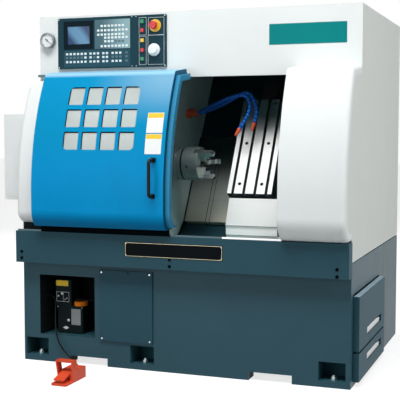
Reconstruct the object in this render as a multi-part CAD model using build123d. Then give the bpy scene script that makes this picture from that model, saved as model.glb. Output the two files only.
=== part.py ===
from build123d import *
import math
import os

# A gang-type turning lathe with a slanted bed. Millimetres, +Z up, the operator stands at -Y.
# The origin is on the floor, in the middle of the base cabinet's footprint.

# Overall body
WIDTH = 1680
DEPTH = 1286
HEIGHT = 1750
SHEET = 3
HALF_W = WIDTH / 2
HALF_D = DEPTH / 2

# Base cabinet
BASE_HEIGHT = 570
BASE_WALL = 8
DECK = 12
FORK_HEIGHT = 40
FORK_SPANS = [(-580, -372), (360, 568)]
POCKET_XS = [-HALF_W + 75, -185, HALF_W - 85]
POCKET_WIDTH = 126
POCKET_HEIGHT = 90
POCKET_DEPTH = 125
POCKET_WALL = 6
FOOT_PLATE = 28
STUD_R = 8
STUD_HEIGHT = 50
STUD_INSET = 42
NUT_HEIGHT = 15
THREAD_GAP = 0.05
ANCHOR_R = 11
ANCHOR_X = HALF_W - 80
ANCHOR_INSET = 96
NICHE = dict(x0=-HALF_W + 92, x1=-HALF_W + 400, z0=140, z1=442)
NICHE_DEPTH = 250
NICHE_WALL = 4
GLAND_R = 11
GLAND_LENGTH = 15

# Front access panel
ACCESS = dict(x0=-HALF_W + 432, x1=-HALF_W + 713, z0=132, z1=484)
ACCESS_PROUD = 10
ACCESS_LAP = 18
SCREW_INSET = 12
SCREW_R = 4
SCREW_HEAD = 3

# Drawer bay in the right side of the base
BAY = dict(x0=200, y0=-596, y1=66, z0=52, z1=425)
BAY_WALL = 4
SHELF_Z = 158
DRAWER_PROUD = 30
DRAWER_GAP = 2
DRAWER_WALL = 3
DRAWER_BACK = 240
SLOT_LENGTH = 376
SLOT_HEIGHT = 36
TANK_FACE_BOTTOM = 25
CHUTE = dict(x0=320, x1=700, y0=-560, y1=-350)
SEAM = dict(y=200, z0=407, z1=565, width=3, depth=2)

# Chip tray with the ledge that runs across the front
LEDGE_PROUD = 67
LEDGE_BOTTOM = 510
LEDGE_TOP = 668
LEDGE_BOLTS = [(-HALF_W + 30, 38), (-12, 33), (HALF_W - 51, 27)]
LEDGE_BOLT_PITCH = 32
LEDGE_BOLT_R = 7.5
TRAY_BACK = -330

# Curved front: the line that the sliding door and the right-hand panel share
FRONT_BULGE = 140
SWEEP_R = 1224
SWEEP_FOOT = 850
BELLY_R = 110
BROW_R = 25
DOOR_SPACE = 75
LEFT_BELLY_R = 60
LEFT_BOTTOM = 706
SIDE_ROUND = 22
SIDE_RETURN = 40
OPENING_RIGHT = 533
CHAMBER_LEFT = -150

# Header with the console
HEADER_BACK = 190
HEADER_BOTTOM = 1430
SHELF_AT_HEADER = 1470
SHELF_RISE = 0.125
LEFT_SHELF_RISE = 0.297
SIDE_BOTTOM = 575

# Sliding door
DOOR_LEFT = -710
DOOR_RIGHT = -12
DOOR_SKIN = 2.5
DOOR_BOTTOM = 701
DOOR_FLANGE = 37
DOOR_BACK = -484
RIM_WIDTH = 21
RIM_STEP = 22
RIM_RETURN = 28
RIM_FOOT = 10
WIPER = 3
WIPER_GAP = 0.5
WINDOW_COLS = 4
WINDOW_ROWS = 3
WINDOW_SIZE = (80, 86)
WINDOW_PITCH = (98, 108)
WINDOW_CENTRE_Z = 1226
WINDOW_CORNER = 5
GRID_CORNER = 22
PANE = 4
PANE_LAP = 22
ROLLER_R = 12
ROLLER_INSET = 70
HANDLE_X = -66
HANDLE_LOW = 862
HANDLE_LENGTH = 168
HANDLE_PROUD = 45
HANDLE_R = 8
RAIL_HEIGHT = 8
RUNNING_GAP = 0.3

# Spindle line and the slanted bed
SPINDLE_Y = -393
SPINDLE_Z = 1003
SLOPE_DEG = 60
TOOL_CENTRE = 72.5
SPINDLE_R = 45
BAR_R = 21
SPINDLE_REAR = -960
NOSE_X = -147
NOSE_R = 70
NOSE_FLANGE = 38
CHUCK_R = 82.5
CHUCK_FACE = 34
CHUCK_GROOVE = (-81, -70)
CHUCK_GROOVE_DEPTH = 6
CHUCK_BORE_R = 22.5
JAW_WIDTH = 22
JAW_GUIDE = 20
JAW_STEPS = [(34, 62, 24), (62, 88, 40), (88, 113, 56)]
JAW_OUTER = 80
JAW_ANGLES = [40, 160, 280]
JAW_GAP = 0.1
BEARING_R = 65
BEARING_WIDTH = 28
BEARING_GAP = 0.05
HEAD_HALF = 110
HEAD_TOP = 100
HEAD_LEFT = -600
HEAD_RIGHT = -165

# Belt drive
PULLEY_R = 72
MOTOR_PULLEY_R = 52
PULLEY_WIDTH = 56
PULLEY_LEFT = -940
BELT = 6
BELT_WIDTH = 50
MOTOR_V = 190
MOTOR_H = -120
MOTOR_HALF = 74
MOTOR_SPAN = (-HALF_W + 40, -HALF_W + 320)
MOTOR_SHAFT_R = 16
BELT_COVER = dict(x0=-1007, y0=-543, y1=-83, z0=809, z1=1250)
BAR_HOLE_R = 32

# Bed, saddle and table, in the slope frame: x, v up the slope, h away from the bed
SEAT_H = -411
BED_FOOT = 63
BED_TOP_V = 380
BED_X = (-HALF_W + 40, HALF_W - 110)
BED_WALL = 26
BED_BACK = 400
Z_RAIL = (28, 26)
Z_RAIL_VS = (-60, 260)
Z_GUIDE = 42
Z_SCREW_V = 100
Z_SCREW_H = -391
Z_SCREW_R = 12.5
SCREW_JOURNAL_R = 10
SCREW_BLOCK = 40
SADDLE_X = (151, 407)
SADDLE_V = (-130, 335)
SADDLE_TOP_V = 430
SADDLE_NOTCH_H = -345
X_RAIL = (20, 20)
X_RAIL_OFFSET = 80
X_GUIDE = 32
X_SCREW_H = -185
X_SCREW_R = 10
X_JOURNAL_R = 8
CHANNEL_HALF = 30
CHANNEL_DEPTH = 52
TABLE_WIDTH = 228
TABLE_LENGTH = 540
TABLE_THICK = 60
TABLE_LOW_V = -125.6
SLOT_PITCH = 57
SLOT_THROAT = (14, 14)
SLOT_TEE = (23, 9)
TABLE_HOLE_VS = (54, 283, 512)
TABLE_HOLE_R = 8.5
SERVO_HALF = 45
GUIDE_GAP = 0.3

# Way covers, lying on the slope, and the apron below the table
COVER = 2
COVER_TOP_H = -351
COVER_GAP = 0.5
COVER_LOW_V = -158
COVER_HIGH_V = 350
COVER_LIP = 34
COVER_FIXED_X = (-150, 30)
COVER_MIDDLE_X = (-134, 116)
COVER_SADDLE_LEFT = -31
APRON_X = (157, 421)
APRON_TOP_LEFT = 177
APRON_TOP = 835
APRON_FLARE = 20
APRON_STEPS = [697, 650, 616]
APRON_SETBACK = 8

# Coolant
VALVE_Y = -111
VALVE_Z = 1256
VALVE_PITCH = 28
VALVE_END = -92
BEAD_R = 9
BEAD_WAIST = 7
BEAD_PITCH = 13
NOZZLE_LENGTH = 42
HOSE_1 = [(-92, -111, 1256), (-60, -125, 1272), (20, -170, 1300), (105, -225, 1326), (185, -270, 1343),
          (235, -300, 1335), (258, -318, 1297), (256, -328, 1258), (240, -336, 1218), (214, -341, 1176)]
HOSE_2 = [(-92, -83, 1256), (-55, -95, 1268), (30, -140, 1292), (110, -195, 1318), (180, -245, 1345),
          (232, -275, 1352), (266, -288, 1324), (284, -292, 1276), (284, -295, 1240), (275, -297, 1206)]

# Console on the header
CONSOLE_LEFT = -HALF_W + 112
CONSOLE = dict(x0=CONSOLE_LEFT, x1=CONSOLE_LEFT + 600, z0=1482, z1=1738)
CONSOLE_PROUD = 12
CONSOLE_BOX_DEPTH = 70
SCREEN_BEZEL = dict(x0=CONSOLE_LEFT + 32, x1=CONSOLE_LEFT + 204, z0=1579, z1=1722)
SCREEN = dict(x0=CONSOLE_LEFT + 56, x1=CONSOLE_LEFT + 180, z0=1606, z1=1695)
SCREEN_GLASS = 3
KEYPAD = dict(x0=CONSOLE_LEFT + 210, x1=CONSOLE_LEFT + 406, z0=1578, z1=1724)
LOWER_PAD = dict(x0=CONSOLE_LEFT + 33, x1=CONSOLE_LEFT + 406, z0=1490, z1=1572)
KEY = (13, 11)
KEY_PROUD = 1.5
KEY_PITCH = 19.6
KEY_ROWS = [(1692, 1, 7), (1670, 0, 9), (1649, 0, 8), (1633, 2, 7), (1615, 2, 5), (1591, 1, 8)]
LOWER_ROWS = [1556, 1537, 1516]
LOWER_KEYS = [19, 40, 61, 82, 103, 124, 153, 174, 195, 225, 245, 277, 298, 319, 353]
BUTTON_X = CONSOLE_LEFT + 473
BUTTONS = [("button_green_top", 1706), ("button_red_upper", 1663), ("button_yellow", 1613),
           ("button_red_lower", 1565), ("button_green_bottom", 1522)]
BUTTON = 18.4
BUTTON_PROUD = 7
ESTOP = (CONSOLE_LEFT + 543, 1683)
ESTOP_RING_R = 31
ESTOP_R = 20
ESTOP_PROUD = 38
KNOB = (CONSOLE_LEFT + 538, 1565)
KNOB_R = 31
KNOB_GRIP_R = 21
GAUGE = (CONSOLE_LEFT - 56, 1629)
GAUGE_R = 40
GAUGE_PROUD = 30
GAUGE_RECESS = 8

# Electrical cabinet in the rear wall
ELECTRIC = dict(x0=-400, x1=400, z0=700, z1=1500)
ELECTRIC_DEPTH = 150
REAR_DOOR_DEPTH = 18
HINGE_ZS = (820, 1340)
HINGE_R = 5

# Lubricator in the niche
LUBE_TANK = dict(x0=NICHE["x0"] + 49, x1=NICHE["x0"] + 195, y0=-553, y1=-453, height=142)
LUBE_HEAD = dict(x0=NICHE["x0"] + 39, x1=NICHE["x0"] + 131, y1=-468, height=133)
LUBE_CAP_R = 35
LUBE_CAP_HEIGHT = 22
LUBE_PIPE_RISE = 33

# Foot pedal on the floor
PEDAL = dict(x0=-463, x1=-384, y0=-1048, y1=-848)
PEDAL_PLATE = 10
PEDAL_BOX = 52
PEDAL_BOX_FRONT = -940
PEDAL_SIDE = 14
PEDAL_PIN_R = 4
PEDAL_HOOD_TOP = 101
PEDAL_HOOD = (-982, -940)
PEDAL_HOOD_LEAN = 16
PEDAL_WALL = 6
TREADLE = 7
CABLE_R = 4
CABLE_POINTS = [(-737, -572, 326), (-714, -572, 326), (-694, -580, 306), (-684, -600, 262),
                (-672, -624, 212), (-656, -649, 168), (-642, -662, 130), (-622, -664, 88),
                (-588, -664, 50), (-548, -668, 22), (-518, -684, 7), (-500, -712, 4.5),
                (-488, -744, 4.5), (-466, -776, 6), (-440, -798, 16), (-434, -822, 24), (-434, -843, 24)]

SIN = math.sin(math.radians(SLOPE_DEG))
COS = math.cos(math.radians(SLOPE_DEG))
HEADER_Y = -HALF_D + HEADER_BACK
FRONT_Y = -HALF_D - FRONT_BULGE
ROOF_Z = HEIGHT - SHEET
CABINET_FLOOR = FORK_HEIGHT + BASE_WALL
TABLE_TOP_H = -TOOL_CENTRE
TABLE_UNDER_H = TABLE_TOP_H - TABLE_THICK
SADDLE_SEAT_H = TABLE_UNDER_H - X_GUIDE
SADDLE_UNDER_H = SEAT_H + Z_GUIDE
SADDLE_MID = sum(SADDLE_X) / 2
SLOPE = Plane(origin=(0, SPINDLE_Y, SPINDLE_Z), x_dir=(1, 0, 0), z_dir=(0, -SIN, COS))
RIGHT_SHAPE = dict(front=FRONT_Y, sweep=SWEEP_R, belly=BELLY_R, bottom=LEDGE_TOP,
                   shelf=SHELF_AT_HEADER, rise=SHELF_RISE)
LEFT_SHAPE = dict(front=FRONT_Y + DOOR_SPACE, sweep=SWEEP_R - DOOR_SPACE, belly=LEFT_BELLY_R,
                  bottom=LEFT_BOTTOM, shelf=HEADER_BOTTOM, rise=LEFT_SHELF_RISE)


def block(x0, x1, y0, y1, z0, z1):
    """A box between two corners."""
    return Pos((x0 + x1) / 2, (y0 + y1) / 2, (z0 + z1) / 2) * Box(abs(x1 - x0), abs(y1 - y0), abs(z1 - z0))


def rod_x(x0, x1, radius, y=SPINDLE_Y, z=SPINDLE_Z):
    """A cylinder along X, on the spindle line unless told otherwise."""
    return Pos((x0 + x1) / 2, y, z) * Rot(0, 90, 0) * Cylinder(radius, x1 - x0)


def rod_y(x, z, radius, y0, y1):
    """A cylinder along Y."""
    return Pos(x, (y0 + y1) / 2, z) * Rot(90, 0, 0) * Cylinder(radius, abs(y1 - y0))


def rod_z(x, y, radius, z0, z1):
    """A cylinder along Z."""
    return Pos(x, y, (z0 + z1) / 2) * Cylinder(radius, z1 - z0)


def lay(shape):
    """Puts a shape drawn in the slope frame onto the slanted bed."""
    return SLOPE.location * shape


def from_slope(v, h):
    """World Y and Z of a point of the slope frame."""
    return (SPINDLE_Y + v * COS - h * SIN, SPINDLE_Z + v * SIN + h * COS)


def open_box(x0, x1, y0, y1, z0, z1, wall, side):
    """A box of sheet with one side left open."""
    limits = [x0, x1, y0, y1, z0, z1]
    inner = [x0 + wall, x1 - wall, y0 + wall, y1 - wall, z0 + wall, z1 - wall]
    inner[side] = limits[side]
    return block(*limits) - block(*inner)


def yz_face(points):
    """A flat face through points given as Y and Z."""
    corners = [(0, y, z) for y, z in points]
    return make_face(Polyline(*corners, close=True).edges())


def slab(face, x0, x1):
    """A face of the YZ plane drawn out from x0 to x1."""
    return Pos(x0, 0, 0) * extrude(face, x1 - x0, dir=(1, 0, 0))


def shelf_height(shape, y, inset):
    """Height of the shelf above the curved front, at a depth y."""
    drop = inset * math.hypot(1, shape["rise"])
    return shape["shelf"] - (HEADER_Y - y) * shape["rise"] - drop


def sweep_top(shape, inset):
    """Where the curved front meets its shelf."""
    centre_y = shape["front"] + shape["sweep"]
    radius = shape["sweep"] - inset
    y = HEADER_Y - HEADER_BACK
    for _ in range(40):
        rise = shelf_height(shape, y, inset) - SWEEP_FOOT
        y = centre_y - math.sqrt(radius ** 2 - rise ** 2)
    return y, shelf_height(shape, y, inset)


def front_face(shape, inset, back_y):
    """Side view of the curved front, moved in by the inset and closed by a straight back."""
    front = shape["front"] + inset
    bend_y = shape["front"] + shape["belly"]
    bend_z = shape["bottom"] + shape["belly"]
    bend_r = shape["belly"] - inset
    low_z = shape["bottom"] + inset
    sweep_y = shape["front"] + shape["sweep"]
    sweep_r = shape["sweep"] - inset
    top = sweep_top(shape, inset)
    half = math.asin((top[1] - SWEEP_FOOT) / sweep_r) / 2
    middle = (0, sweep_y - sweep_r * math.cos(half), SWEEP_FOOT + sweep_r * math.sin(half))
    corner = bend_r * math.sqrt(0.5)
    edges = [
        Line((0, back_y, low_z), (0, bend_y, low_z)),
        ThreePointArc((0, bend_y, low_z), (0, bend_y - corner, bend_z - corner), (0, front, bend_z)),
        Line((0, front, bend_z), (0, front, SWEEP_FOOT)),
        ThreePointArc((0, front, SWEEP_FOOT), middle, (0, top[0], top[1])),
        Line((0, top[0], top[1]), (0, back_y, shelf_height(shape, back_y, inset))),
        Line((0, back_y, shelf_height(shape, back_y, inset)), (0, back_y, low_z)),
    ]
    face = Face(Wire(edges))
    if inset < BROW_R:
        brow = face.vertices().sort_by_distance((0, top[0], top[1]))[0]
        face = face.fillet_2d(BROW_R - inset, [brow])
    return face


def rounded_end(shape, inset, back_y, x0, x1, end_x, radius):
    """The curved front as a solid whose edge at end_x is rounded."""
    solid = slab(front_face(shape, inset, back_y), x0, x1)
    flat = solid.faces().sort_by_distance((end_x, (back_y + shape["front"]) / 2, SWEEP_FOOT))
    end = flat.filter_by(Axis.X)[0]
    edges = end.edges().filter_by(lambda edge: edge.center().Y < back_y - 1)
    return fillet(edges, radius)


def write(name, shape):
    """Saves one piece, or one group of like pieces."""
    if type(shape) is list:
        shape = Compound(children=shape)
    export_step(shape, "parts/" + name + ".step")


def base_pocket(x, side):
    """Box around a levelling stud; side is -1 at the front and +1 at the rear."""
    edge = side * HALF_D
    inner = edge - side * POCKET_DEPTH
    half = POCKET_WIDTH / 2
    top = FOOT_PLATE + POCKET_HEIGHT
    shell = block(x - half - POCKET_WALL, x + half + POCKET_WALL, edge, inner - side * POCKET_WALL,
                  0, top + POCKET_WALL)
    hollow = block(x - half, x + half, edge + side, inner, FOOT_PLATE, top)
    stud = rod_z(x, edge - side * STUD_INSET, STUD_R + THREAD_GAP, -1, FOOT_PLATE + 1)
    return shell, hollow + stud


def base_cabinet():
    """Welded cabinet that carries the bed."""
    inner_w = HALF_W - BASE_WALL
    inner_d = HALF_D - BASE_WALL
    body = block(-HALF_W, HALF_W, -HALF_D, HALF_D, 0, BASE_HEIGHT)
    body -= block(-inner_w, inner_w, -inner_d, inner_d, CABINET_FLOOR, BASE_HEIGHT - DECK)
    body -= block(-inner_w, inner_w, -inner_d, inner_d, -1, FORK_HEIGHT)
    hollow = []
    for side in (-1, 1):
        for x in POCKET_XS:
            shell, space = base_pocket(x, side)
            body += shell & block(-HALF_W, HALF_W, -HALF_D, HALF_D, 0, BASE_HEIGHT)
            hollow.append(space)
    niche = block(NICHE["x0"] - 2 * NICHE_WALL, NICHE["x1"] + 2 * NICHE_WALL, -inner_d,
                  -HALF_D + NICHE_DEPTH + NICHE_WALL, NICHE["z0"] - 14, NICHE["z1"] + 34)
    body += niche
    hollow.append(block(NICHE["x0"] - NICHE_WALL, NICHE["x1"] + NICHE_WALL, -inner_d,
                        -HALF_D + NICHE_DEPTH, NICHE["z0"] - 10, NICHE["z1"] + 30))
    hollow.append(block(NICHE["x0"], NICHE["x1"], -HALF_D - 1, -inner_d + 1, NICHE["z0"], NICHE["z1"]))
    hollow.append(block(ACCESS["x0"] + ACCESS_LAP, ACCESS["x1"] - ACCESS_LAP, -HALF_D - 1, -inner_d + 1,
                        ACCESS["z0"] + ACCESS_LAP, ACCESS["z1"] - ACCESS_LAP))
    bay_shell = block(BAY["x0"] - BAY_WALL, inner_w, BAY["y0"] - BAY_WALL, BAY["y1"] + BAY_WALL,
                      CABINET_FLOOR, BAY["z1"] + BAY_WALL)
    bay = block(BAY["x0"], HALF_W + 1, BAY["y0"], BAY["y1"], BAY["z0"], BAY["z1"])
    shelf = block(BAY["x0"], HALF_W, BAY["y0"], BAY["y1"], SHELF_Z, SHELF_Z + BAY_WALL)
    corner, _ = base_pocket(POCKET_XS[2], -1)
    body = body + bay_shell - (bay - shelf - corner)
    body += block(CHUTE["x0"] - SHEET, CHUTE["x1"] + SHEET, CHUTE["y0"] - SHEET, CHUTE["y1"] + SHEET,
                  BAY["z1"], BASE_HEIGHT - DECK)
    for x0, x1 in FORK_SPANS:
        hollow.append(block(x0, x1, -HALF_D - 1, HALF_D + 1, -1, FORK_HEIGHT))
    hollow.append(block(CHUTE["x0"], CHUTE["x1"], CHUTE["y0"], CHUTE["y1"], BAY["z1"] - 1, BASE_HEIGHT + 1))
    for side in (-1, 1):
        for x in (-ANCHOR_X, ANCHOR_X):
            hollow.append(rod_z(x, side * (HALF_D - ANCHOR_INSET), ANCHOR_R, -1, FOOT_PLATE + 1))
    hollow.append(block(HALF_W - SEAM["depth"], HALF_W + 1, SEAM["y"] - SEAM["width"] / 2,
                        SEAM["y"] + SEAM["width"] / 2, SEAM["z0"], SEAM["z1"]))
    for space in hollow:
        body -= space
    gland = rod_x(NICHE["x0"] - NICHE_WALL, NICHE["x0"] - NICHE_WALL + GLAND_LENGTH, GLAND_R,
                  CABLE_POINTS[0][1], CABLE_POINTS[0][2])
    return body + gland


def levelling_bolts():
    """Six studs that stand on the floor, each with its lock nut."""
    pieces = []
    for side in (-1, 1):
        for x in POCKET_XS:
            y = side * (HALF_D - STUD_INSET)
            pieces.append(rod_z(x, y, STUD_R, 0, STUD_HEIGHT))
            nut = Pos(x, y, FOOT_PLATE) * extrude(RegularPolygon(1.6 * STUD_R, 6), NUT_HEIGHT)
            pieces.append(nut - rod_z(x, y, STUD_R + THREAD_GAP, 0, STUD_HEIGHT))
    return pieces


def access_panel():
    """Cover plate with folded edges and an oval lock."""
    y = -HALF_D
    plate = open_box(ACCESS["x0"], ACCESS["x1"], y - ACCESS_PROUD, y, ACCESS["z0"], ACCESS["z1"], SHEET, 3)
    middle = (ACCESS["x0"] + ACCESS["x1"]) / 2
    lock = Plane.XZ * Ellipse(16, 9)
    return plate + Pos(middle, y - ACCESS_PROUD, ACCESS["z1"] - SCREW_INSET) * extrude(lock, 6)


def panel_screws():
    """Screws of the access panel and the bolts of the ledge."""
    screws = []
    front = -HALF_D - ACCESS_PROUD
    for x in (ACCESS["x0"] + SCREW_INSET, ACCESS["x1"] - SCREW_INSET):
        for z in (ACCESS["z0"] + SCREW_INSET, ACCESS["z1"] - SCREW_INSET):
            screws.append(rod_y(x, z, SCREW_R, front - SCREW_HEAD, front))
    ledge = -HALF_D - LEDGE_PROUD
    for x, rise in LEDGE_BOLTS:
        middle = LEDGE_BOTTOM + rise
        for z in (middle - LEDGE_BOLT_PITCH / 2, middle + LEDGE_BOLT_PITCH / 2):
            screws.append(rod_y(x, z, LEDGE_BOLT_R, ledge - SCREW_HEAD, ledge))
    return screws


def chip_tray():
    """Ledge across the front, and the trough behind it that catches chips."""
    ledge = -HALF_D - LEDGE_PROUD
    inner = -HALF_D + BASE_WALL
    skin = open_box(-HALF_W - SHEET, HALF_W + SHEET, ledge, -HALF_D, LEDGE_BOTTOM, LEDGE_TOP, SHEET, 3)
    shelf = block(-HALF_W + 2 * SHEET, HALF_W - 2 * SHEET, -HALF_D, inner, LEDGE_TOP - SHEET, LEDGE_TOP)
    wall = block(-HALF_W + 2 * SHEET, HALF_W - 2 * SHEET, inner - SHEET, inner, BASE_HEIGHT, LEDGE_TOP)
    floor = block(CHAMBER_LEFT, HALF_W - 2 * SHEET, inner - SHEET, TRAY_BACK,
                  BASE_HEIGHT, BASE_HEIGHT + SHEET)
    lip = from_slope(COVER_LOW_V - 2, COVER_TOP_H - COVER_LIP)
    slope = slab(yz_face([(TRAY_BACK, BASE_HEIGHT), (TRAY_BACK, BASE_HEIGHT + SHEET), (lip[0] - 4, lip[1]),
                          (lip[0], lip[1]), (TRAY_BACK + 6, BASE_HEIGHT)]), CHAMBER_LEFT, HALF_W - 2 * SHEET)
    chute = block(CHUTE["x0"], CHUTE["x1"], CHUTE["y0"], CHUTE["y1"], BASE_HEIGHT - 1, LEDGE_TOP - 30)
    return skin + shelf + wall + (floor + slope - chute)


def side_panel(shape, side):
    """Side wall of the enclosure, behind the curved front."""
    x0 = HALF_W - SHEET if side > 0 else -HALF_W
    inset = SIDE_RETURN
    curved = slab(front_face(shape, inset, HEADER_Y), x0, x0 + SHEET)
    low = block(x0, x0 + SHEET, HEADER_Y, HEADER_Y + SHEET, shape["bottom"], HEADER_BOTTOM)
    back = block(x0, x0 + SHEET, HEADER_Y + SHEET, HALF_D - SHEET, shape["bottom"], ROOF_Z)
    foot = block(x0, x0 + SHEET, -HALF_D, HALF_D - SHEET, SIDE_BOTTOM, shape["bottom"] + inset)
    return curved + low + back + foot


def left_side_panel():
    """Left wall, with the hole where the spindle and the motor shaft pass."""
    hole = block(-HALF_W - 1, -HALF_W + SHEET + 1, BELT_COVER["y0"] + 60, BELT_COVER["y1"] - 40,
                 BELT_COVER["z0"] + 80, BELT_COVER["z1"] - 50)
    return side_panel(LEFT_SHAPE, -1) - hole


def curved_panel(shape, x0, x1, end_x):
    """Fixed front panel: a curved sheet, rounded into the side of the machine."""
    outer = rounded_end(shape, 0, HEADER_Y, x0, x1, end_x, SIDE_ROUND)
    if end_x > 0:
        inner = rounded_end(shape, SHEET, HEADER_Y + 1, x0 - 1, x1 - SHEET, x1 - SHEET, SIDE_ROUND - SHEET)
    else:
        inner = rounded_end(shape, SHEET, HEADER_Y + 1, x0 + SHEET, x1 + 1, x0 + SHEET, SIDE_ROUND - SHEET)
    rear = slab(front_face(shape, SIDE_RETURN, HEADER_Y + 1), x0 - 1, x1 + 1)
    heel = block(x0 - 1, x1 + 1, -HALF_D - RUNNING_GAP, HEADER_Y + 1, shape["bottom"] - 1,
                 shape["bottom"] + SIDE_RETURN)
    return outer - inner - rear - heel


def right_front_panel():
    """Right-hand panel, with a narrow fold along the opening."""
    panel = curved_panel(RIGHT_SHAPE, OPENING_RIGHT, HALF_W, HALF_W)
    fold = slab(front_face(RIGHT_SHAPE, SHEET, HEADER_Y), OPENING_RIGHT, OPENING_RIGHT + SHEET)
    fold -= slab(front_face(RIGHT_SHAPE, SHEET + 15, HEADER_Y + 1),
                 OPENING_RIGHT - 1, OPENING_RIGHT + SHEET + 1)
    return panel + fold


def left_front_panel():
    """Left-hand panel that the open door covers, with a plinth down to the ledge."""
    panel = curved_panel(LEFT_SHAPE, -HALF_W, CHAMBER_LEFT, -HALF_W)
    y = LEFT_SHAPE["front"] + LEFT_BELLY_R
    plinth = block(-HALF_W + 2 * SHEET, CHAMBER_LEFT, y, y + SHEET, LEDGE_TOP, LEFT_BOTTOM + SHEET)
    return panel + plinth


def header_cover():
    """Front header and roof, folded from one sheet, with the console's cut-out."""
    front = block(-HALF_W, HALF_W, HEADER_Y, HEADER_Y + SHEET, HEADER_BOTTOM, HEIGHT)
    roof = block(-HALF_W, HALF_W, HEADER_Y, HALF_D, ROOF_Z, HEIGHT)
    lip = block(-HALF_W + SHEET, HALF_W - SHEET, HEADER_Y, HEADER_Y + 25,
                HEADER_BOTTOM, HEADER_BOTTOM + SHEET)
    cut = block(CONSOLE["x0"] + 13, CONSOLE["x1"] - 13, HEADER_Y - 1, HEADER_Y + SHEET + 1,
                CONSOLE["z0"] + 13, CONSOLE["z1"] - 13)
    return front + roof + lip - cut


def rear_panel():
    """Rear wall with the hinge lugs of the electrical door."""
    panel = block(-HALF_W, HALF_W, HALF_D - SHEET, HALF_D, SIDE_BOTTOM, ROOF_Z)
    panel -= block(ELECTRIC["x0"], ELECTRIC["x1"], HALF_D - SHEET - 1, HALF_D + 1,
                   ELECTRIC["z0"], ELECTRIC["z1"])
    axis_x, axis_y = hinge_line()
    for z in HINGE_ZS:
        for z0, z1 in ((z - 20, z - RUNNING_GAP), (z + 40 + RUNNING_GAP, z + 60)):
            web = block(axis_x - 3, axis_x + 3, HALF_D, axis_y, z0, z1)
            panel += rod_z(axis_x, axis_y, HINGE_R, z0, z1) + web
    return panel


def hinge_line():
    """Where the rear door turns."""
    return ELECTRIC["x0"] - 4, HALF_D + 12


def electrical_door():
    """Rear door, a folded pan with two hinge knuckles."""
    axis_x, axis_y = hinge_line()
    y0 = HALF_D + 0.5
    pan = open_box(ELECTRIC["x0"] + 2, ELECTRIC["x1"] + 14, y0, y0 + REAR_DOOR_DEPTH,
                   ELECTRIC["z0"] - 14, ELECTRIC["z1"] + 14, 2, 2)
    for z in HINGE_ZS:
        web = block(axis_x, ELECTRIC["x0"] + 3, axis_y - 3, axis_y + 3, z, z + 40)
        pan += rod_z(axis_x, axis_y, HINGE_R, z, z + 40) + web
    handle = block(ELECTRIC["x1"] - 40, ELECTRIC["x1"] - 15, y0 + REAR_DOOR_DEPTH, y0 + REAR_DOOR_DEPTH + 14,
                   1060, 1180)
    return pan + fillet(handle.edges().filter_by(Axis.Z), 5)


def electrical_cabinet():
    """Steel tub behind the rear door, with the drives on its back wall."""
    y1 = HALF_D - SHEET
    y0 = y1 - ELECTRIC_DEPTH
    tub = open_box(ELECTRIC["x0"] - 10, ELECTRIC["x1"] + 10, y0, y1,
                   ELECTRIC["z0"] - 10, ELECTRIC["z1"] + 10, 2, 3)
    for index in range(3):
        x = -330 + 150 * index
        tub += block(x, x + 120, y0 + 2, y0 + 110, 1180, 1440)
    tub += block(140, 340, y0 + 2, y0 + 120, 1180, 1440)
    for index in range(8):
        x = -330 + 60 * index
        tub += block(x, x + 48, y0 + 2, y0 + 80, 980, 1080)
    tub += block(-340, 340, y0 + 2, y0 + 50, 840, 880)
    return tub


def belt_cover():
    """Box over the rear end of the spindle, with a hole for the bar stock."""
    box = open_box(BELT_COVER["x0"], -HALF_W, BELT_COVER["y0"], BELT_COVER["y1"],
                   BELT_COVER["z0"], BELT_COVER["z1"], 2, 1)
    hole = rod_x(BELT_COVER["x0"] - 1, BELT_COVER["x0"] + 3, BAR_HOLE_R)
    lid = block(BELT_COVER["x0"] + 14, -HALF_W - 22, BELT_COVER["y0"] - 1.5, BELT_COVER["y0"],
                BELT_COVER["z0"] + 16, BELT_COVER["z1"] - 16)
    return box - hole + lid


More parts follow.
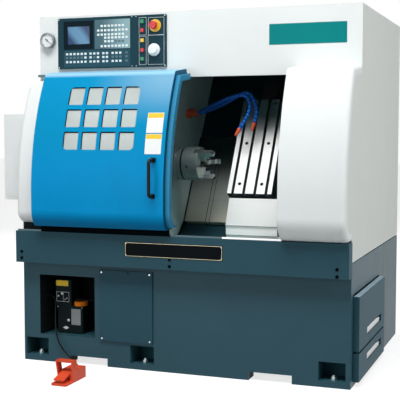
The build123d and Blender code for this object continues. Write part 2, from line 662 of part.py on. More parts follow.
def chamber_liner():
    """Left wall of the working chamber and the slanted sheet above the way covers."""
    low = from_slope(COVER_LOW_V - 3, COVER_TOP_H + 3)
    plane_top = from_slope(1040, COVER_TOP_H + 3)
    wall = slab(front_face(LEFT_SHAPE, SHEET, HEADER_Y + 300), CHAMBER_LEFT - SHEET, CHAMBER_LEFT)
    wall += block(CHAMBER_LEFT - SHEET, CHAMBER_LEFT, HEADER_Y + 25, 500, HEADER_BOTTOM - 200, ROOF_Z)
    wall += block(CHAMBER_LEFT - SHEET, CHAMBER_LEFT, HEADER_Y + 250, 500, LEFT_BOTTOM + 3, HEADER_BOTTOM)
    wall += block(CHAMBER_LEFT - SHEET, CHAMBER_LEFT, -HALF_D + BASE_WALL + 1, 500,
                  BASE_HEIGHT + 2 * SHEET, LEFT_BOTTOM + 10)
    behind = yz_face([(TRAY_BACK - 6, BASE_HEIGHT), (low[0] - 12, low[1]), (plane_top[0], plane_top[1]),
                      (900, plane_top[1]), (900, BASE_HEIGHT)])
    wall -= slab(behind, CHAMBER_LEFT - 10, CHAMBER_LEFT + 10)
    wall -= block(CHAMBER_LEFT - 10, CHAMBER_LEFT + 10, -900, HEADER_Y + SHEET + 0.0, HEADER_BOTTOM, HEIGHT)
    wall -= block(CHAMBER_LEFT - 10, CHAMBER_LEFT + 10, -900, HEADER_Y + 25,
                  HEADER_BOTTOM - 1, HEADER_BOTTOM + 4)
    wall -= rod_x(CHAMBER_LEFT - 10, CHAMBER_LEFT + 10, CHUCK_R + 5)
    wall -= block(CHAMBER_LEFT - 10, CHAMBER_LEFT + 10, -900, HEADER_Y + CONSOLE_BOX_DEPTH + 5,
                  CONSOLE["z0"], CONSOLE["z1"])
    top_v = (ROOF_Z - 6 - from_slope(0, COVER_TOP_H)[1]) / SIN
    sheet = lay(block(CHAMBER_LEFT, HALF_W - SHEET, COVER_HIGH_V + 6, top_v,
                      COVER_TOP_H - SHEET, COVER_TOP_H))
    wall += lay(block(CHAMBER_LEFT - SHEET, CHAMBER_LEFT, COVER_HIGH_V + 6, top_v,
                      COVER_TOP_H - SHEET, COVER_TOP_H + 6))
    return [wall, sheet]


def bed_casting():
    """Slanted bed with its two guide rails and the bearing blocks of the screw."""
    foot_v = (BASE_HEIGHT + BED_FOOT - from_slope(0, SEAT_H)[1]) / SIN
    low = from_slope(foot_v, SEAT_H)
    high = from_slope(BED_TOP_V, SEAT_H)
    outline = [(low[0] - 30, BASE_HEIGHT), low, high, (high[0] + 80, high[1]), (BED_BACK, BASE_HEIGHT + 160),
               (BED_BACK, BASE_HEIGHT)]
    outer = yz_face(outline)
    inner = offset(outer, -BED_WALL, kind=Kind.INTERSECTION)
    bed = slab(outer, *BED_X) - slab(inner, BED_X[0] - 1, BED_X[1] + 1)
    for x in (BED_X[0], -300, 200, BED_X[1] - BED_WALL):
        bed += slab(outer, x, x + BED_WALL)
    for v in Z_RAIL_VS:
        half = Z_RAIL[0] / 2
        bed += lay(block(CHAMBER_LEFT + 10, BED_X[1] - 30, v - half, v + half, SEAT_H, SEAT_H + Z_RAIL[1]))
    for x0 in (CHAMBER_LEFT + 5, BED_X[1] - SCREW_BLOCK):
        support = block(x0, x0 + SCREW_BLOCK, Z_SCREW_V - 30, Z_SCREW_V + 30, SEAT_H, Z_SCREW_H + 23)
        bed += lay(support)
    bore = Pos(0, Z_SCREW_V, Z_SCREW_H) * Rot(0, 90, 0) * Cylinder(SCREW_JOURNAL_R + BEARING_GAP, 2 * WIDTH)
    cut = lay(bore & block(CHAMBER_LEFT, BED_X[1] + 1, 0, 200, SEAT_H - 20, SEAT_H + 60))
    return bed - cut


def headstock():
    """Cast housing of the spindle, bolted on the slanted bed."""
    body = block(HEAD_LEFT, HEAD_RIGHT, -HEAD_HALF, HEAD_HALF, SEAT_H, HEAD_TOP)
    body = chamfer(body.edges().filter_by(Axis.X).group_by(Axis.Z)[-1], 30)
    foot = block(HEAD_LEFT - 30, HEAD_RIGHT, -HEAD_HALF - 25, HEAD_HALF, SEAT_H, SEAT_H + 30)
    shape = lay(body + foot)
    shape -= rod_x(HEAD_LEFT - 31, HEAD_RIGHT + 1, SPINDLE_R + 8)
    for x0, x1 in bearing_seats():
        shape -= rod_x(x0, x1, BEARING_R)
    return shape


def bearing_seats():
    """Bores for the bearings at both ends of the headstock."""
    return [(HEAD_RIGHT - 2 * BEARING_WIDTH, HEAD_RIGHT), (HEAD_LEFT, HEAD_LEFT + BEARING_WIDTH)]


def spindle_bearings():
    """Two bearings at the nose and one at the rear."""
    rings = []
    starts = [HEAD_RIGHT - 2 * BEARING_WIDTH, HEAD_RIGHT - BEARING_WIDTH, HEAD_LEFT]
    for x in starts:
        ring = rod_x(x, x + BEARING_WIDTH, BEARING_R - BEARING_GAP)
        ring -= rod_x(x - 1, x + BEARING_WIDTH + 1, SPINDLE_R + BEARING_GAP)
        middle = (SPINDLE_R + BEARING_R) / 2
        for face_x in (x, x + BEARING_WIDTH):
            groove = rod_x(face_x - 1.5, face_x + 1.5, middle + 4)
            ring -= groove - rod_x(face_x - 1.5, face_x + 1.5, middle - 4)
        rings.append(ring)
    return rings


def spindle():
    """Hollow spindle with its nose flange and the toothed-belt pulley keyed on its rear end."""
    shaft = rod_x(SPINDLE_REAR, NOSE_X, SPINDLE_R)
    nose_rear = HEAD_RIGHT + 1
    shaft += rod_x(nose_rear, NOSE_X, NOSE_R)
    shaft += rod_x(PULLEY_LEFT, PULLEY_LEFT + PULLEY_WIDTH, PULLEY_R)
    for x0 in (PULLEY_LEFT - 3, PULLEY_LEFT + PULLEY_WIDTH):
        shaft += rod_x(x0, x0 + 3, PULLEY_R + BELT + 3)
    return shaft - rod_x(SPINDLE_REAR - 1, NOSE_X + 1, BAR_R)


def jaw_direction(angle):
    """Unit vector of a jaw, the angle counted from straight up towards the operator."""
    turn = math.radians(angle)
    return (0, -math.sin(turn), math.cos(turn))


def to_jaw(shape, angle):
    """Turns a shape drawn straight up from the spindle line to a jaw's angle."""
    return Pos(0, SPINDLE_Y, SPINDLE_Z) * Rot(angle, 0, 0) * shape


def chuck_body():
    """Three-jaw chuck with its back plate and the slots that guide the jaws."""
    body = rod_x(NOSE_X, CHUCK_FACE, CHUCK_R)
    body = chamfer(body.edges().filter_by(GeomType.CIRCLE), 2)
    groove = rod_x(*CHUCK_GROOVE, CHUCK_R + 5) - rod_x(*CHUCK_GROOVE, CHUCK_R - CHUCK_GROOVE_DEPTH)
    body = body - groove - rod_x(NOSE_X - 1, CHUCK_FACE + 1, CHUCK_BORE_R)
    half = JAW_WIDTH / 2 + JAW_GAP
    slot = block(CHUCK_FACE - JAW_GUIDE, CHUCK_FACE + 1, -half, half, CHUCK_BORE_R - 6, CHUCK_R + 5)
    tee = block(CHUCK_FACE - JAW_GUIDE, CHUCK_FACE - JAW_GUIDE / 2, -half - 4, half + 4,
                CHUCK_BORE_R - 6, CHUCK_R + 5)
    for angle in JAW_ANGLES:
        body -= to_jaw(slot + tee, angle)
        key = Pos(-18, 0, CHUCK_R - 12) * Cylinder(8, 30)
        body -= to_jaw(key, angle + 60)
    return body


def jaw(angle):
    """Stepped jaw with the tee that slides in the chuck."""
    half = JAW_WIDTH / 2
    low = JAW_STEPS[0][2]
    shape = block(CHUCK_FACE - JAW_GUIDE + JAW_GAP, CHUCK_FACE, -half, half, low, JAW_OUTER)
    shape += block(CHUCK_FACE - JAW_GUIDE + JAW_GAP, CHUCK_FACE - JAW_GUIDE / 2 - JAW_GAP,
                   -half - 4 + JAW_GAP,
                   half + 4 - JAW_GAP, low, JAW_OUTER - 4)
    for x0, x1, start in JAW_STEPS:
        shape += block(x0 + (JAW_GAP if x0 == CHUCK_FACE else 0), x1, -half, half, start, JAW_OUTER)
    shape += block(CHUCK_FACE, CHUCK_FACE + 1, -half, half, low, JAW_OUTER)
    shape -= Pos(JAW_STEPS[2][1], 0, JAW_OUTER) * Rot(0, 45, 0) * Box(16, 2 * JAW_WIDTH, 16)
    return to_jaw(shape, angle)


def motor_centre():
    """World Y and Z of the spindle motor's shaft."""
    return from_slope(MOTOR_V, MOTOR_H)


def spindle_motor():
    """Spindle motor on a raised foot behind the headstock."""
    x0, x1 = MOTOR_SPAN
    body = block(x0, x1, MOTOR_V - MOTOR_HALF, MOTOR_V + MOTOR_HALF,
                 MOTOR_H - MOTOR_HALF, MOTOR_H + MOTOR_HALF)
    body = chamfer(body.edges().filter_by(Axis.X), 18)
    for index in range(9):
        x = x0 + 50 + index * 22
        rib = block(x, x + 5, MOTOR_V - MOTOR_HALF - 1, MOTOR_V + MOTOR_HALF + 1,
                    MOTOR_H + MOTOR_HALF - 8, MOTOR_H + MOTOR_HALF + 1)
        body -= rib
    foot = block(x0 + 20, x1 - 60, MOTOR_V - 60, MOTOR_V + 60, SEAT_H, MOTOR_H - MOTOR_HALF)
    y, z = motor_centre()
    shaft = rod_x(PULLEY_LEFT + 4, x0, MOTOR_SHAFT_R - BEARING_GAP, y, z)
    return lay(body + foot), shaft


def motor_pulley():
    """Pulley with the motor shaft that turns with it."""
    y, z = motor_centre()
    pulley = rod_x(PULLEY_LEFT, PULLEY_LEFT + PULLEY_WIDTH, MOTOR_PULLEY_R, y, z)
    for x0 in (PULLEY_LEFT - 3, PULLEY_LEFT + PULLEY_WIDTH):
        pulley += rod_x(x0, x0 + 3, MOTOR_PULLEY_R + BELT + 3, y, z)
    return pulley + rod_x(PULLEY_LEFT + PULLEY_WIDTH, MOTOR_SPAN[0], MOTOR_SHAFT_R, y, z)


def drive_belt():
    """Belt around both pulleys, a running gap clear of them."""
    y, z = motor_centre()
    x0 = PULLEY_LEFT + (PULLEY_WIDTH - BELT_WIDTH) / 2
    loops = []
    for grow in (RUNNING_GAP, RUNNING_GAP + BELT):
        big = PULLEY_R + grow
        small = MOTOR_PULLEY_R + grow
        length = math.hypot(y - SPINDLE_Y, z - SPINDLE_Z)
        heading = math.atan2(z - SPINDLE_Z, y - SPINDLE_Y)
        spread = math.acos((big - small) / length)
        points = []
        for sign in (1, -1):
            turn = heading + sign * spread
            points.append([(SPINDLE_Y + big * math.cos(turn), SPINDLE_Z + big * math.sin(turn)),
                           (y + small * math.cos(turn), z + small * math.sin(turn))])
        hull = slab(yz_face([points[0][0], points[0][1], points[1][1], points[1][0]]), x0, x0 + BELT_WIDTH)
        loops.append(hull + rod_x(x0, x0 + BELT_WIDTH, big) + rod_x(x0, x0 + BELT_WIDTH, small, y, z))
    return loops[1] - loops[0]


def z_screw():
    """Ball screw that drives the saddle along the bed."""
    y, z = from_slope(Z_SCREW_V, Z_SCREW_H)
    x0 = CHAMBER_LEFT + 5
    x1 = BED_X[1]
    screw = rod_x(x0 + 4, x1, SCREW_JOURNAL_R, y, z)
    screw += rod_x(x0 + SCREW_BLOCK + 1, x1 - SCREW_BLOCK - 1, Z_SCREW_R, y, z)
    return screw


def z_motor():
    """Servo motor on the right end of the bed."""
    x0 = BED_X[1]
    body = block(x0, x0 + 98, Z_SCREW_V - SERVO_HALF, Z_SCREW_V + SERVO_HALF,
                 Z_SCREW_H - SERVO_HALF, Z_SCREW_H + SERVO_HALF)
    return lay(chamfer(body.edges().filter_by(Axis.X), 10))


def saddle():
    """Saddle with its carriages, the rails of the table and the housing of the cross screw."""
    x0, x1 = SADDLE_X
    shape = block(x0, x1, SADDLE_V[0], SADDLE_V[1], SADDLE_UNDER_H, SADDLE_SEAT_H)
    shape += block(x0, x1, SADDLE_V[1], SADDLE_TOP_V, SADDLE_NOTCH_H, SADDLE_SEAT_H)
    shape -= block(SADDLE_MID - CHANNEL_HALF, SADDLE_MID + CHANNEL_HALF, SADDLE_V[0] + 18, SADDLE_TOP_V - 25,
                   SADDLE_SEAT_H - CHANNEL_DEPTH, SADDLE_SEAT_H + 1)
    bore = Pos(SADDLE_MID, 0, X_SCREW_H) * Rot(90, 0, 0) * Cylinder(X_JOURNAL_R + BEARING_GAP, 2 * WIDTH)
    shape -= bore & block(x0, x1, SADDLE_V[0] - 1, SADDLE_TOP_V + 1, SADDLE_UNDER_H, SADDLE_SEAT_H)
    for sign in (-1, 1):
        middle = SADDLE_MID + sign * X_RAIL_OFFSET
        half = X_RAIL[0] / 2
        shape += block(middle - half, middle + half, SADDLE_V[0] + 5, SADDLE_TOP_V - 2,
                       SADDLE_SEAT_H, SADDLE_SEAT_H + X_RAIL[1])
    for v in Z_RAIL_VS:
        for start in (x0 + 4, x1 - 104):
            shape += carriage(start, start + 100, v)
    nut_x = SADDLE_MID - 34
    nut = block(nut_x, nut_x + 68, Z_SCREW_V - 26, Z_SCREW_V + 26, SEAT_H + 1, SADDLE_UNDER_H)
    nut -= Pos(nut_x + 34, Z_SCREW_V, Z_SCREW_H) * Rot(0, 90, 0) * Cylinder(Z_SCREW_R + BEARING_GAP, 80)
    return lay(shape + nut)


def carriage(x0, x1, v):
    """Guide carriage that straddles a rail of the bed."""
    half = Z_RAIL[0] / 2
    shape = block(x0, x1, v - half - 18, v + half + 18, SEAT_H + 6, SADDLE_UNDER_H)
    gap = GUIDE_GAP
    return shape - block(x0 - 1, x1 + 1, v - half - gap, v + half + gap, SEAT_H, SEAT_H + Z_RAIL[1] + gap)


def x_screw():
    """Ball screw that drives the table up the slope."""
    v0 = SADDLE_V[0]
    v1 = SADDLE_TOP_V
    long = Pos(SADDLE_MID, (v0 + v1) / 2 + 2, X_SCREW_H) * Rot(90, 0, 0) * Cylinder(X_JOURNAL_R, v1 - v0 - 4)
    thick = Pos(SADDLE_MID, (v0 + v1 - 7) / 2, X_SCREW_H) * Rot(90, 0, 0) * \
        Cylinder(X_SCREW_R, v1 - v0 - 45)
    return lay(long + thick)


def x_motor():
    """Servo motor at the top of the saddle."""
    body = block(SADDLE_MID - SERVO_HALF, SADDLE_MID + SERVO_HALF, SADDLE_TOP_V, SADDLE_TOP_V + 130,
                 X_SCREW_H - SERVO_HALF, X_SCREW_H + SERVO_HALF)
    return lay(chamfer(body.edges().filter_by(Axis.Y), 10))


def tool_table():
    """Cross slide with T-slots for gang tools, its carriages and the nut of the screw."""
    x0 = SADDLE_MID - TABLE_WIDTH / 2
    x1 = SADDLE_MID + TABLE_WIDTH / 2
    v1 = TABLE_LOW_V + TABLE_LENGTH
    table = block(x0, x1, TABLE_LOW_V, v1, TABLE_UNDER_H, TABLE_TOP_H)
    for index in range(4):
        x = SADDLE_MID + (index - 1.5) * SLOT_PITCH
        half = SLOT_THROAT[0] / 2
        tee = SLOT_TEE[0] / 2
        floor = TABLE_TOP_H - SLOT_THROAT[1] - SLOT_TEE[1]
        table -= block(x - half, x + half, TABLE_LOW_V - 1, v1 + 1, floor, TABLE_TOP_H + 1)
        table -= block(x - tee, x + tee, TABLE_LOW_V - 1, v1 + 1, floor, floor + SLOT_TEE[1])
    for v in TABLE_HOLE_VS:
        for sign in (-1, 1):
            at = Pos(SADDLE_MID + sign * SLOT_PITCH, TABLE_LOW_V + v, TABLE_TOP_H)
            hole = at * Cylinder(TABLE_HOLE_R, 24)
            table -= hole
    for sign in (-1, 1):
        middle = SADDLE_MID + sign * X_RAIL_OFFSET
        half = X_RAIL[0] / 2 + GUIDE_GAP
        for v in (TABLE_LOW_V + 16, TABLE_LOW_V + 316):
            block_low = SADDLE_SEAT_H + 4
            table += block(middle - 22, middle + 22, v, v + 80, block_low, TABLE_UNDER_H)
            table -= block(middle - half, middle + half, v - 1, v + 81, block_low - 1,
                           SADDLE_SEAT_H + X_RAIL[1] + GUIDE_GAP)
    nut = block(SADDLE_MID - 22, SADDLE_MID + 22, -60, 0, X_SCREW_H - 16, TABLE_UNDER_H)
    nut -= Pos(SADDLE_MID, -30, X_SCREW_H) * Rot(90, 0, 0) * Cylinder(X_SCREW_R + BEARING_GAP, 80)
    return lay(table + nut)


def way_cover(x0, x1, level, lip):
    """Sheet over the ways, folded down along both long edges; level 0 is the outermost."""
    step = level * (COVER + COVER_GAP)
    top = COVER_TOP_H - step
    v0 = COVER_LOW_V + step
    v1 = COVER_HIGH_V - step
    cover = block(x0, x1, v0, v1, top - lip, top)
    return lay(cover - block(x0 - 1, x1 + 1, v0 + COVER, v1 - COVER, top - lip - 1, top - COVER))


def z_cover_fixed():
    """Innermost cover, standing on the bed beside the headstock."""
    lip = COVER_TOP_H - 2 * (COVER + COVER_GAP) - SEAT_H
    return way_cover(*COVER_FIXED_X, 2, lip)


def saddle_apron():
    """Stepped stainless plate below the table, carried by the saddle."""
    front = from_slope(TABLE_LOW_V, TABLE_TOP_H)[0] + 2
    top = from_slope(SADDLE_V[0], SADDLE_SEAT_H)
    shape = block(APRON_TOP_LEFT, APRON_X[1], front, top[0], top[1] - COVER, top[1])
    corners = [(APRON_X[0], APRON_STEPS[0]), (APRON_TOP_LEFT, APRON_TOP), (APRON_X[1], APRON_TOP),
               (APRON_X[1], APRON_STEPS[0])]
    shape += xz_slab(corners, front, front + COVER)
    level = top[1]
    for index, low in enumerate(APRON_STEPS):
        y = front + index * APRON_SETBACK
        right = APRON_X[1] + (APRON_FLARE if index == len(APRON_STEPS) - 1 else 0)
        if index > 0:
            shape += block(APRON_X[0], right, y, y + COVER, low, level)
        if index < len(APRON_STEPS) - 1:
            shape += block(APRON_X[0], APRON_X[1], y, y + APRON_SETBACK + COVER, low, low + COVER)
        level = low + COVER
    return shape


def coolant_valve():
    """Valve block on the chamber wall with two outlets and a lever."""
    x0 = CHAMBER_LEFT
    flange = block(x0, x0 + 6, VALVE_Y - 24, VALVE_Y + VALVE_PITCH + 24, VALVE_Z - 22, VALVE_Z + 22)
    flange = fillet(flange.edges().filter_by(Axis.X), 10)
    body = block(x0 + 6, VALVE_END - 12, VALVE_Y - 15, VALVE_Y + VALVE_PITCH + 15, VALVE_Z - 14, VALVE_Z + 14)
    shape = flange + fillet(body.edges().filter_by(Axis.X), 6)
    for y in (VALVE_Y, VALVE_Y + VALVE_PITCH):
        shape += rod_x(VALVE_END - 12, VALVE_END, BEAD_R + 1, y, VALVE_Z)
    lever = rod_z((x0 + VALVE_END) / 2, VALVE_Y, 5, VALVE_Z + 14, VALVE_Z + 24)
    lever += block((x0 + VALVE_END) / 2 - 5, (x0 + VALVE_END) / 2 + 5, VALVE_Y - 40, VALVE_Y + 6,
                   VALVE_Z + 22, VALVE_Z + 27)
    return shape + lever


def hose(points):
    """Ball-jointed hose that holds its own shape, with its nozzle."""
    route = Spline(*points)
    count = int(route.length / BEAD_PITCH)
    shape = None
    for index in range(count):
        start = route @ (index / count)
        end = route @ ((index + 1) / count)
        run = Vector(*end) - Vector(*start)
        frame = Plane(origin=start, z_dir=run)
        bead = Cone(BEAD_R, BEAD_WAIST, run.length + 1.5, align=(Align.CENTER, Align.CENTER, Align.MIN))
        bead = frame.location * bead
        shape = bead if shape is None else shape + bead
    shape -= block(CHAMBER_LEFT, VALVE_END, VALVE_Y - 60, VALVE_Y + 90, VALVE_Z - 60, VALVE_Z + 60)
    tip = Plane(origin=route @ 1, z_dir=route % 1)
    nozzle = Cone(BEAD_R - 0.5, 3.5, NOZZLE_LENGTH, align=(Align.CENTER, Align.CENTER, Align.MIN))
    return shape + tip.location * nozzle


def window_grid(centre_x):
    """The twelve panes of the door, with the grid's outer corners rounded."""
    width = (WINDOW_COLS - 1) * WINDOW_PITCH[0] + WINDOW_SIZE[0]
    height = (WINDOW_ROWS - 1) * WINDOW_PITCH[1] + WINDOW_SIZE[1]
    holes = None
    for col in range(WINDOW_COLS):
        for row in range(WINDOW_ROWS):
            x = (col - (WINDOW_COLS - 1) / 2) * WINDOW_PITCH[0]
            z = (row - (WINDOW_ROWS - 1) / 2) * WINDOW_PITCH[1]
            pane = Pos(x, z) * RectangleRounded(*WINDOW_SIZE, WINDOW_CORNER)
            holes = pane if holes is None else holes + pane
    grid = holes & RectangleRounded(width, height, GRID_CORNER)
    solid = extrude(Plane.XZ * grid, DOOR_SPACE + FRONT_BULGE)
    return Pos(centre_x, FRONT_Y + DOOR_SPACE + FRONT_BULGE, WINDOW_CENTRE_Z) * solid


def door_shell(x0, x1, inset, wall, depth):
    """Curved skin between two X values, with folds of a given depth along its edges."""
    outer = slab(front_face(RIGHT_SHAPE, inset, DOOR_BACK), x0, x1)
    inner = slab(front_face(RIGHT_SHAPE, inset + wall, DOOR_BACK + 1), x0 + wall, x1 - wall)
    back = slab(front_face(RIGHT_SHAPE, inset + depth, DOOR_BACK + 1), x0 - 1, x1 + 1)
    keep = block(x0 - 5, x1 + 5, -HALF_D - 300, DOOR_BACK, DOOR_BOTTOM, HEIGHT)
    heel = block(x0 - 5, x1 + 5, FRONT_Y + BELLY_R, DOOR_BACK + 1,
                 DOOR_BOTTOM - 1, LEDGE_TOP + inset + depth + 1)
    return ((outer - inner - back) & keep) - heel


def door_panel():
    """Sliding door: curved skin, stepped rim, top lip, bottom flange, wiper strip and rollers."""
    skin = door_shell(DOOR_LEFT, DOOR_RIGHT, 0, DOOR_SKIN, DOOR_FLANGE)
    middle = (DOOR_LEFT + DOOR_RIGHT) / 2
    skin -= window_grid(middle)
    rim = door_shell(DOOR_RIGHT - DOOR_SKIN, DOOR_RIGHT + RIM_WIDTH, RIM_STEP, DOOR_SKIN, RIM_RETURN)
    rim -= block(DOOR_RIGHT, DOOR_RIGHT + RIM_WIDTH + 1, FRONT_Y, DOOR_BACK,
                 DOOR_BOTTOM - 1, DOOR_BOTTOM + RIM_FOOT)
    shelf_back = shelf_height(RIGHT_SHAPE, DOOR_BACK, DOOR_SKIN)
    lip = block(DOOR_LEFT, DOOR_RIGHT, DOOR_BACK - DOOR_SKIN, DOOR_BACK, shelf_back - 22, shelf_back + 1)
    belly_y = FRONT_Y + BELLY_R
    skin_y = belly_y - math.sqrt((BELLY_R - 1) ** 2 - (LEDGE_TOP + BELLY_R - DOOR_BOTTOM) ** 2)
    rail_y = -HALF_D - LEDGE_PROUD + 14
    flange = block(DOOR_LEFT, DOOR_RIGHT, skin_y, rail_y + 12, DOOR_BOTTOM, DOOR_BOTTOM + DOOR_SKIN)
    wiper = block(DOOR_LEFT + RIM_FOOT, DOOR_RIGHT - 1, rail_y - 9 - WIPER, rail_y - 9,
                  LEDGE_TOP + WIPER_GAP, DOOR_BOTTOM + 1)
    shape = skin + rim + lip + flange + wiper
    for x in (DOOR_LEFT + ROLLER_INSET, DOOR_RIGHT - ROLLER_INSET):
        z = LEDGE_TOP + RAIL_HEIGHT + RUNNING_GAP + ROLLER_R
        shape += rod_y(x, z, ROLLER_R, rail_y - 5, rail_y + 5)
        shape += block(x - 9, x + 9, rail_y + 5, rail_y + 8, z - 6, DOOR_BOTTOM + 1)
        shape += block(x - 9, x + 9, rail_y - 8, rail_y - 5, z - 6, DOOR_BOTTOM + 1)
    return shape


def door_window():
    """Clear curved pane behind the grid of the door."""
    gap = DOOR_SKIN + RUNNING_GAP
    width = (WINDOW_COLS - 1) * WINDOW_PITCH[0] + WINDOW_SIZE[0]
    height = (WINDOW_ROWS - 1) * WINDOW_PITCH[1] + WINDOW_SIZE[1]
    middle = (DOOR_LEFT + DOOR_RIGHT) / 2
    x0 = middle - width / 2 - PANE_LAP
    x1 = middle + width / 2 + PANE_LAP
    band = slab(front_face(RIGHT_SHAPE, gap, DOOR_BACK), x0, x1)
    band -= slab(front_face(RIGHT_SHAPE, gap + PANE, DOOR_BACK + 1), x0 - 1, x1 + 1)
    return band & block(x0, x1, -HALF_D - 300, -HALF_D + 60, WINDOW_CENTRE_Z - height / 2 - PANE_LAP,
                        WINDOW_CENTRE_Z + height / 2 + PANE_LAP)


def door_handle():
    """Bow handle whose feet end on the curved skin."""
    y0 = FRONT_Y - HANDLE_PROUD
    z0 = HANDLE_LOW
    z1 = HANDLE_LOW + HANDLE_LENGTH
    deep = FRONT_Y + 40
    path = FilletPolyline((HANDLE_X, deep, z0), (HANDLE_X, y0, z0), (HANDLE_X, y0, z1), (HANDLE_X, deep, z1),
                          radius=16)
    bow = sweep(Plane(origin=(HANDLE_X, deep, z0), z_dir=(0, -1, 0)) * Circle(HANDLE_R), path=path)
    for z in (z0, z1):
        bow += rod_y(HANDLE_X, z, HANDLE_R + 5, FRONT_Y - 5, deep)
    return bow - slab(front_face(RIGHT_SHAPE, 0, DOOR_BACK), HANDLE_X - 60, HANDLE_X + 60)


def door_rail():
    """Rail for the rollers on the ledge and the guide bar under the header."""
    rail_y = -HALF_D - LEDGE_PROUD + 14
    lower = block(-HALF_W + 4, OPENING_RIGHT - 2, rail_y - 4, rail_y + 4, LEDGE_TOP, LEDGE_TOP + RAIL_HEIGHT)
    upper = block(-HALF_W + 4, DOOR_RIGHT - 10, DOOR_BACK + RUNNING_GAP, HEADER_Y, HEADER_BOTTOM + 12,
                  HEADER_BOTTOM + 24)
    return [lower, upper]


def console_panel():
    """Console: a thick face with recesses and holes, and its housing behind the header."""
    face_y = HEADER_Y - CONSOLE_PROUD
    face = block(CONSOLE["x0"], CONSOLE["x1"], face_y, HEADER_Y, CONSOLE["z0"], CONSOLE["z1"])
    face = fillet(face.edges().filter_by(Axis.Y), 4)
    box = open_box(CONSOLE["x0"] + 14, CONSOLE["x1"] - 14, HEADER_Y, HEADER_Y + CONSOLE_BOX_DEPTH,
                   CONSOLE["z0"] + 14, CONSOLE["z1"] - 14, 2, 2)
    shape = face + box
    for area, depth in ((SCREEN_BEZEL, 2), (SCREEN, 2 + SCREEN_GLASS), (KEYPAD, 1), (LOWER_PAD, 1)):
        shape -= block(area["x0"], area["x1"], face_y - 1, face_y + depth, area["z0"], area["z1"])
    half = BUTTON / 2 + RUNNING_GAP
    for _, z in BUTTONS:
        shape += block(BUTTON_X - half - 3, BUTTON_X + half + 3, face_y - 2, face_y,
                       z - half - 3, z + half + 3)
        shape -= block(BUTTON_X - half, BUTTON_X + half, face_y - 3, HEADER_Y + 1, z - half, z + half)
    shape += rod_y(*ESTOP, ESTOP_RING_R, face_y - 2, face_y)
    shape -= rod_y(*ESTOP, ESTOP_R / 2 + RUNNING_GAP, face_y - 3, HEADER_Y + 1)
    shape += rod_y(*KNOB, KNOB_R + 3, face_y - 1.5, face_y)
    shape -= rod_y(*KNOB, 5 + RUNNING_GAP, face_y - 3, HEADER_Y + 1)
    return shape


def console_screen():
    """Glass of the display, in its recess."""
    y = HEADER_Y - CONSOLE_PROUD + 2
    return block(SCREEN["x0"], SCREEN["x1"], y, y + SCREEN_GLASS, SCREEN["z0"], SCREEN["z1"])


def key_at(x, z):
    """One key, standing a little proud of its pad."""
    face_y = HEADER_Y - CONSOLE_PROUD
    return block(x - KEY[0] / 2, x + KEY[0] / 2, face_y - KEY_PROUD, face_y, z - KEY[1] / 2, z + KEY[1] / 2)


def console_keys():
    """Two membrane keypads, each moulded in one piece with its keys."""
    face_y = HEADER_Y - CONSOLE_PROUD
    upper = block(KEYPAD["x0"], KEYPAD["x1"], face_y, face_y + 1, KEYPAD["z0"], KEYPAD["z1"])
    for z, first, count in KEY_ROWS:
        for index in range(first, first + count):
            x = KEYPAD["x0"] + 20 + index * KEY_PITCH
            upper += key_at(x, z)
    lower = block(LOWER_PAD["x0"], LOWER_PAD["x1"], face_y, face_y + 1, LOWER_PAD["z0"], LOWER_PAD["z1"])
    for z in LOWER_ROWS:
        for offset in LOWER_KEYS:
            x = LOWER_PAD["x0"] + offset
            lower += key_at(x, z)
    return [upper, lower]


def push_button(z):
    """Square push button."""
    face_y = HEADER_Y - CONSOLE_PROUD
    half = BUTTON / 2
    cap = block(BUTTON_X - half, BUTTON_X + half, face_y - BUTTON_PROUD, face_y + 6, z - half, z + half)
    return chamfer(cap.faces().sort_by(Axis.Y)[0].edges(), 1.5)


def estop_button():
    """Mushroom head on its stem."""
    face_y = HEADER_Y - CONSOLE_PROUD
    head_y = face_y - ESTOP_PROUD
    head = rod_y(*ESTOP, ESTOP_R, head_y, head_y + 13)
    head = fillet(head.faces().sort_by(Axis.Y)[0].edges(), 5)
    return head + rod_y(*ESTOP, ESTOP_R / 2, head_y + 13, HEADER_Y - 2)


def selector_knob():
    """Rotary knob with a skirt, a grip bar and a pointer nose."""
    face_y = HEADER_Y - CONSOLE_PROUD - 1.5 - RUNNING_GAP
    knob = rod_y(*KNOB, KNOB_R, face_y - 9, face_y)
    knob = fillet(knob.faces().sort_by(Axis.Y)[0].edges(), 3)
    knob += rod_y(*KNOB, KNOB_GRIP_R, face_y - 26, face_y - 9)
    knob = fillet(knob.faces().sort_by(Axis.Y)[0].edges(), 2)
    pointer = block(KNOB[0] - 2, KNOB[0] + 2, face_y - 28, face_y - 26, KNOB[1], KNOB[1] + KNOB_GRIP_R - 3)
    return knob + pointer + rod_y(*KNOB, 5, face_y, HEADER_Y - 2)


def gauge_body():
    """Pressure gauge on the header, its dial set back in the bezel."""
    front = HEADER_Y - GAUGE_PROUD
    body = rod_y(*GAUGE, GAUGE_R - 4, front + 8, HEADER_Y) + rod_y(*GAUGE, GAUGE_R, front, front + 12)
    body = fillet(body.faces().sort_by(Axis.Y)[0].edges(), 2)
    return body - rod_y(*GAUGE, GAUGE_R - 6, front - 1, front + GAUGE_RECESS) + \
        rod_y(*GAUGE, 1.5, front + 3, front + GAUGE_RECESS + 1)


def gauge_needle():
    """Needle with a short tail, balanced on its pin."""
    y0 = HEADER_Y - GAUGE_PROUD + 4
    arm = Rot(0, 40, 0) * (Pos(6, 0, 0) * Box(38, 1, 2.4))
    hub = Rot(90, 0, 0) * Cylinder(4.5, 1)
    tail = Rot(0, 40, 0) * (Pos(-10, 0, 0) * Box(9, 1, 5))
    needle = Pos(GAUGE[0], y0 + 1, GAUGE[1]) * (arm + hub + tail)
    return needle - rod_y(*GAUGE, 1.5 + THREAD_GAP, y0 - 1, y0 + 4)


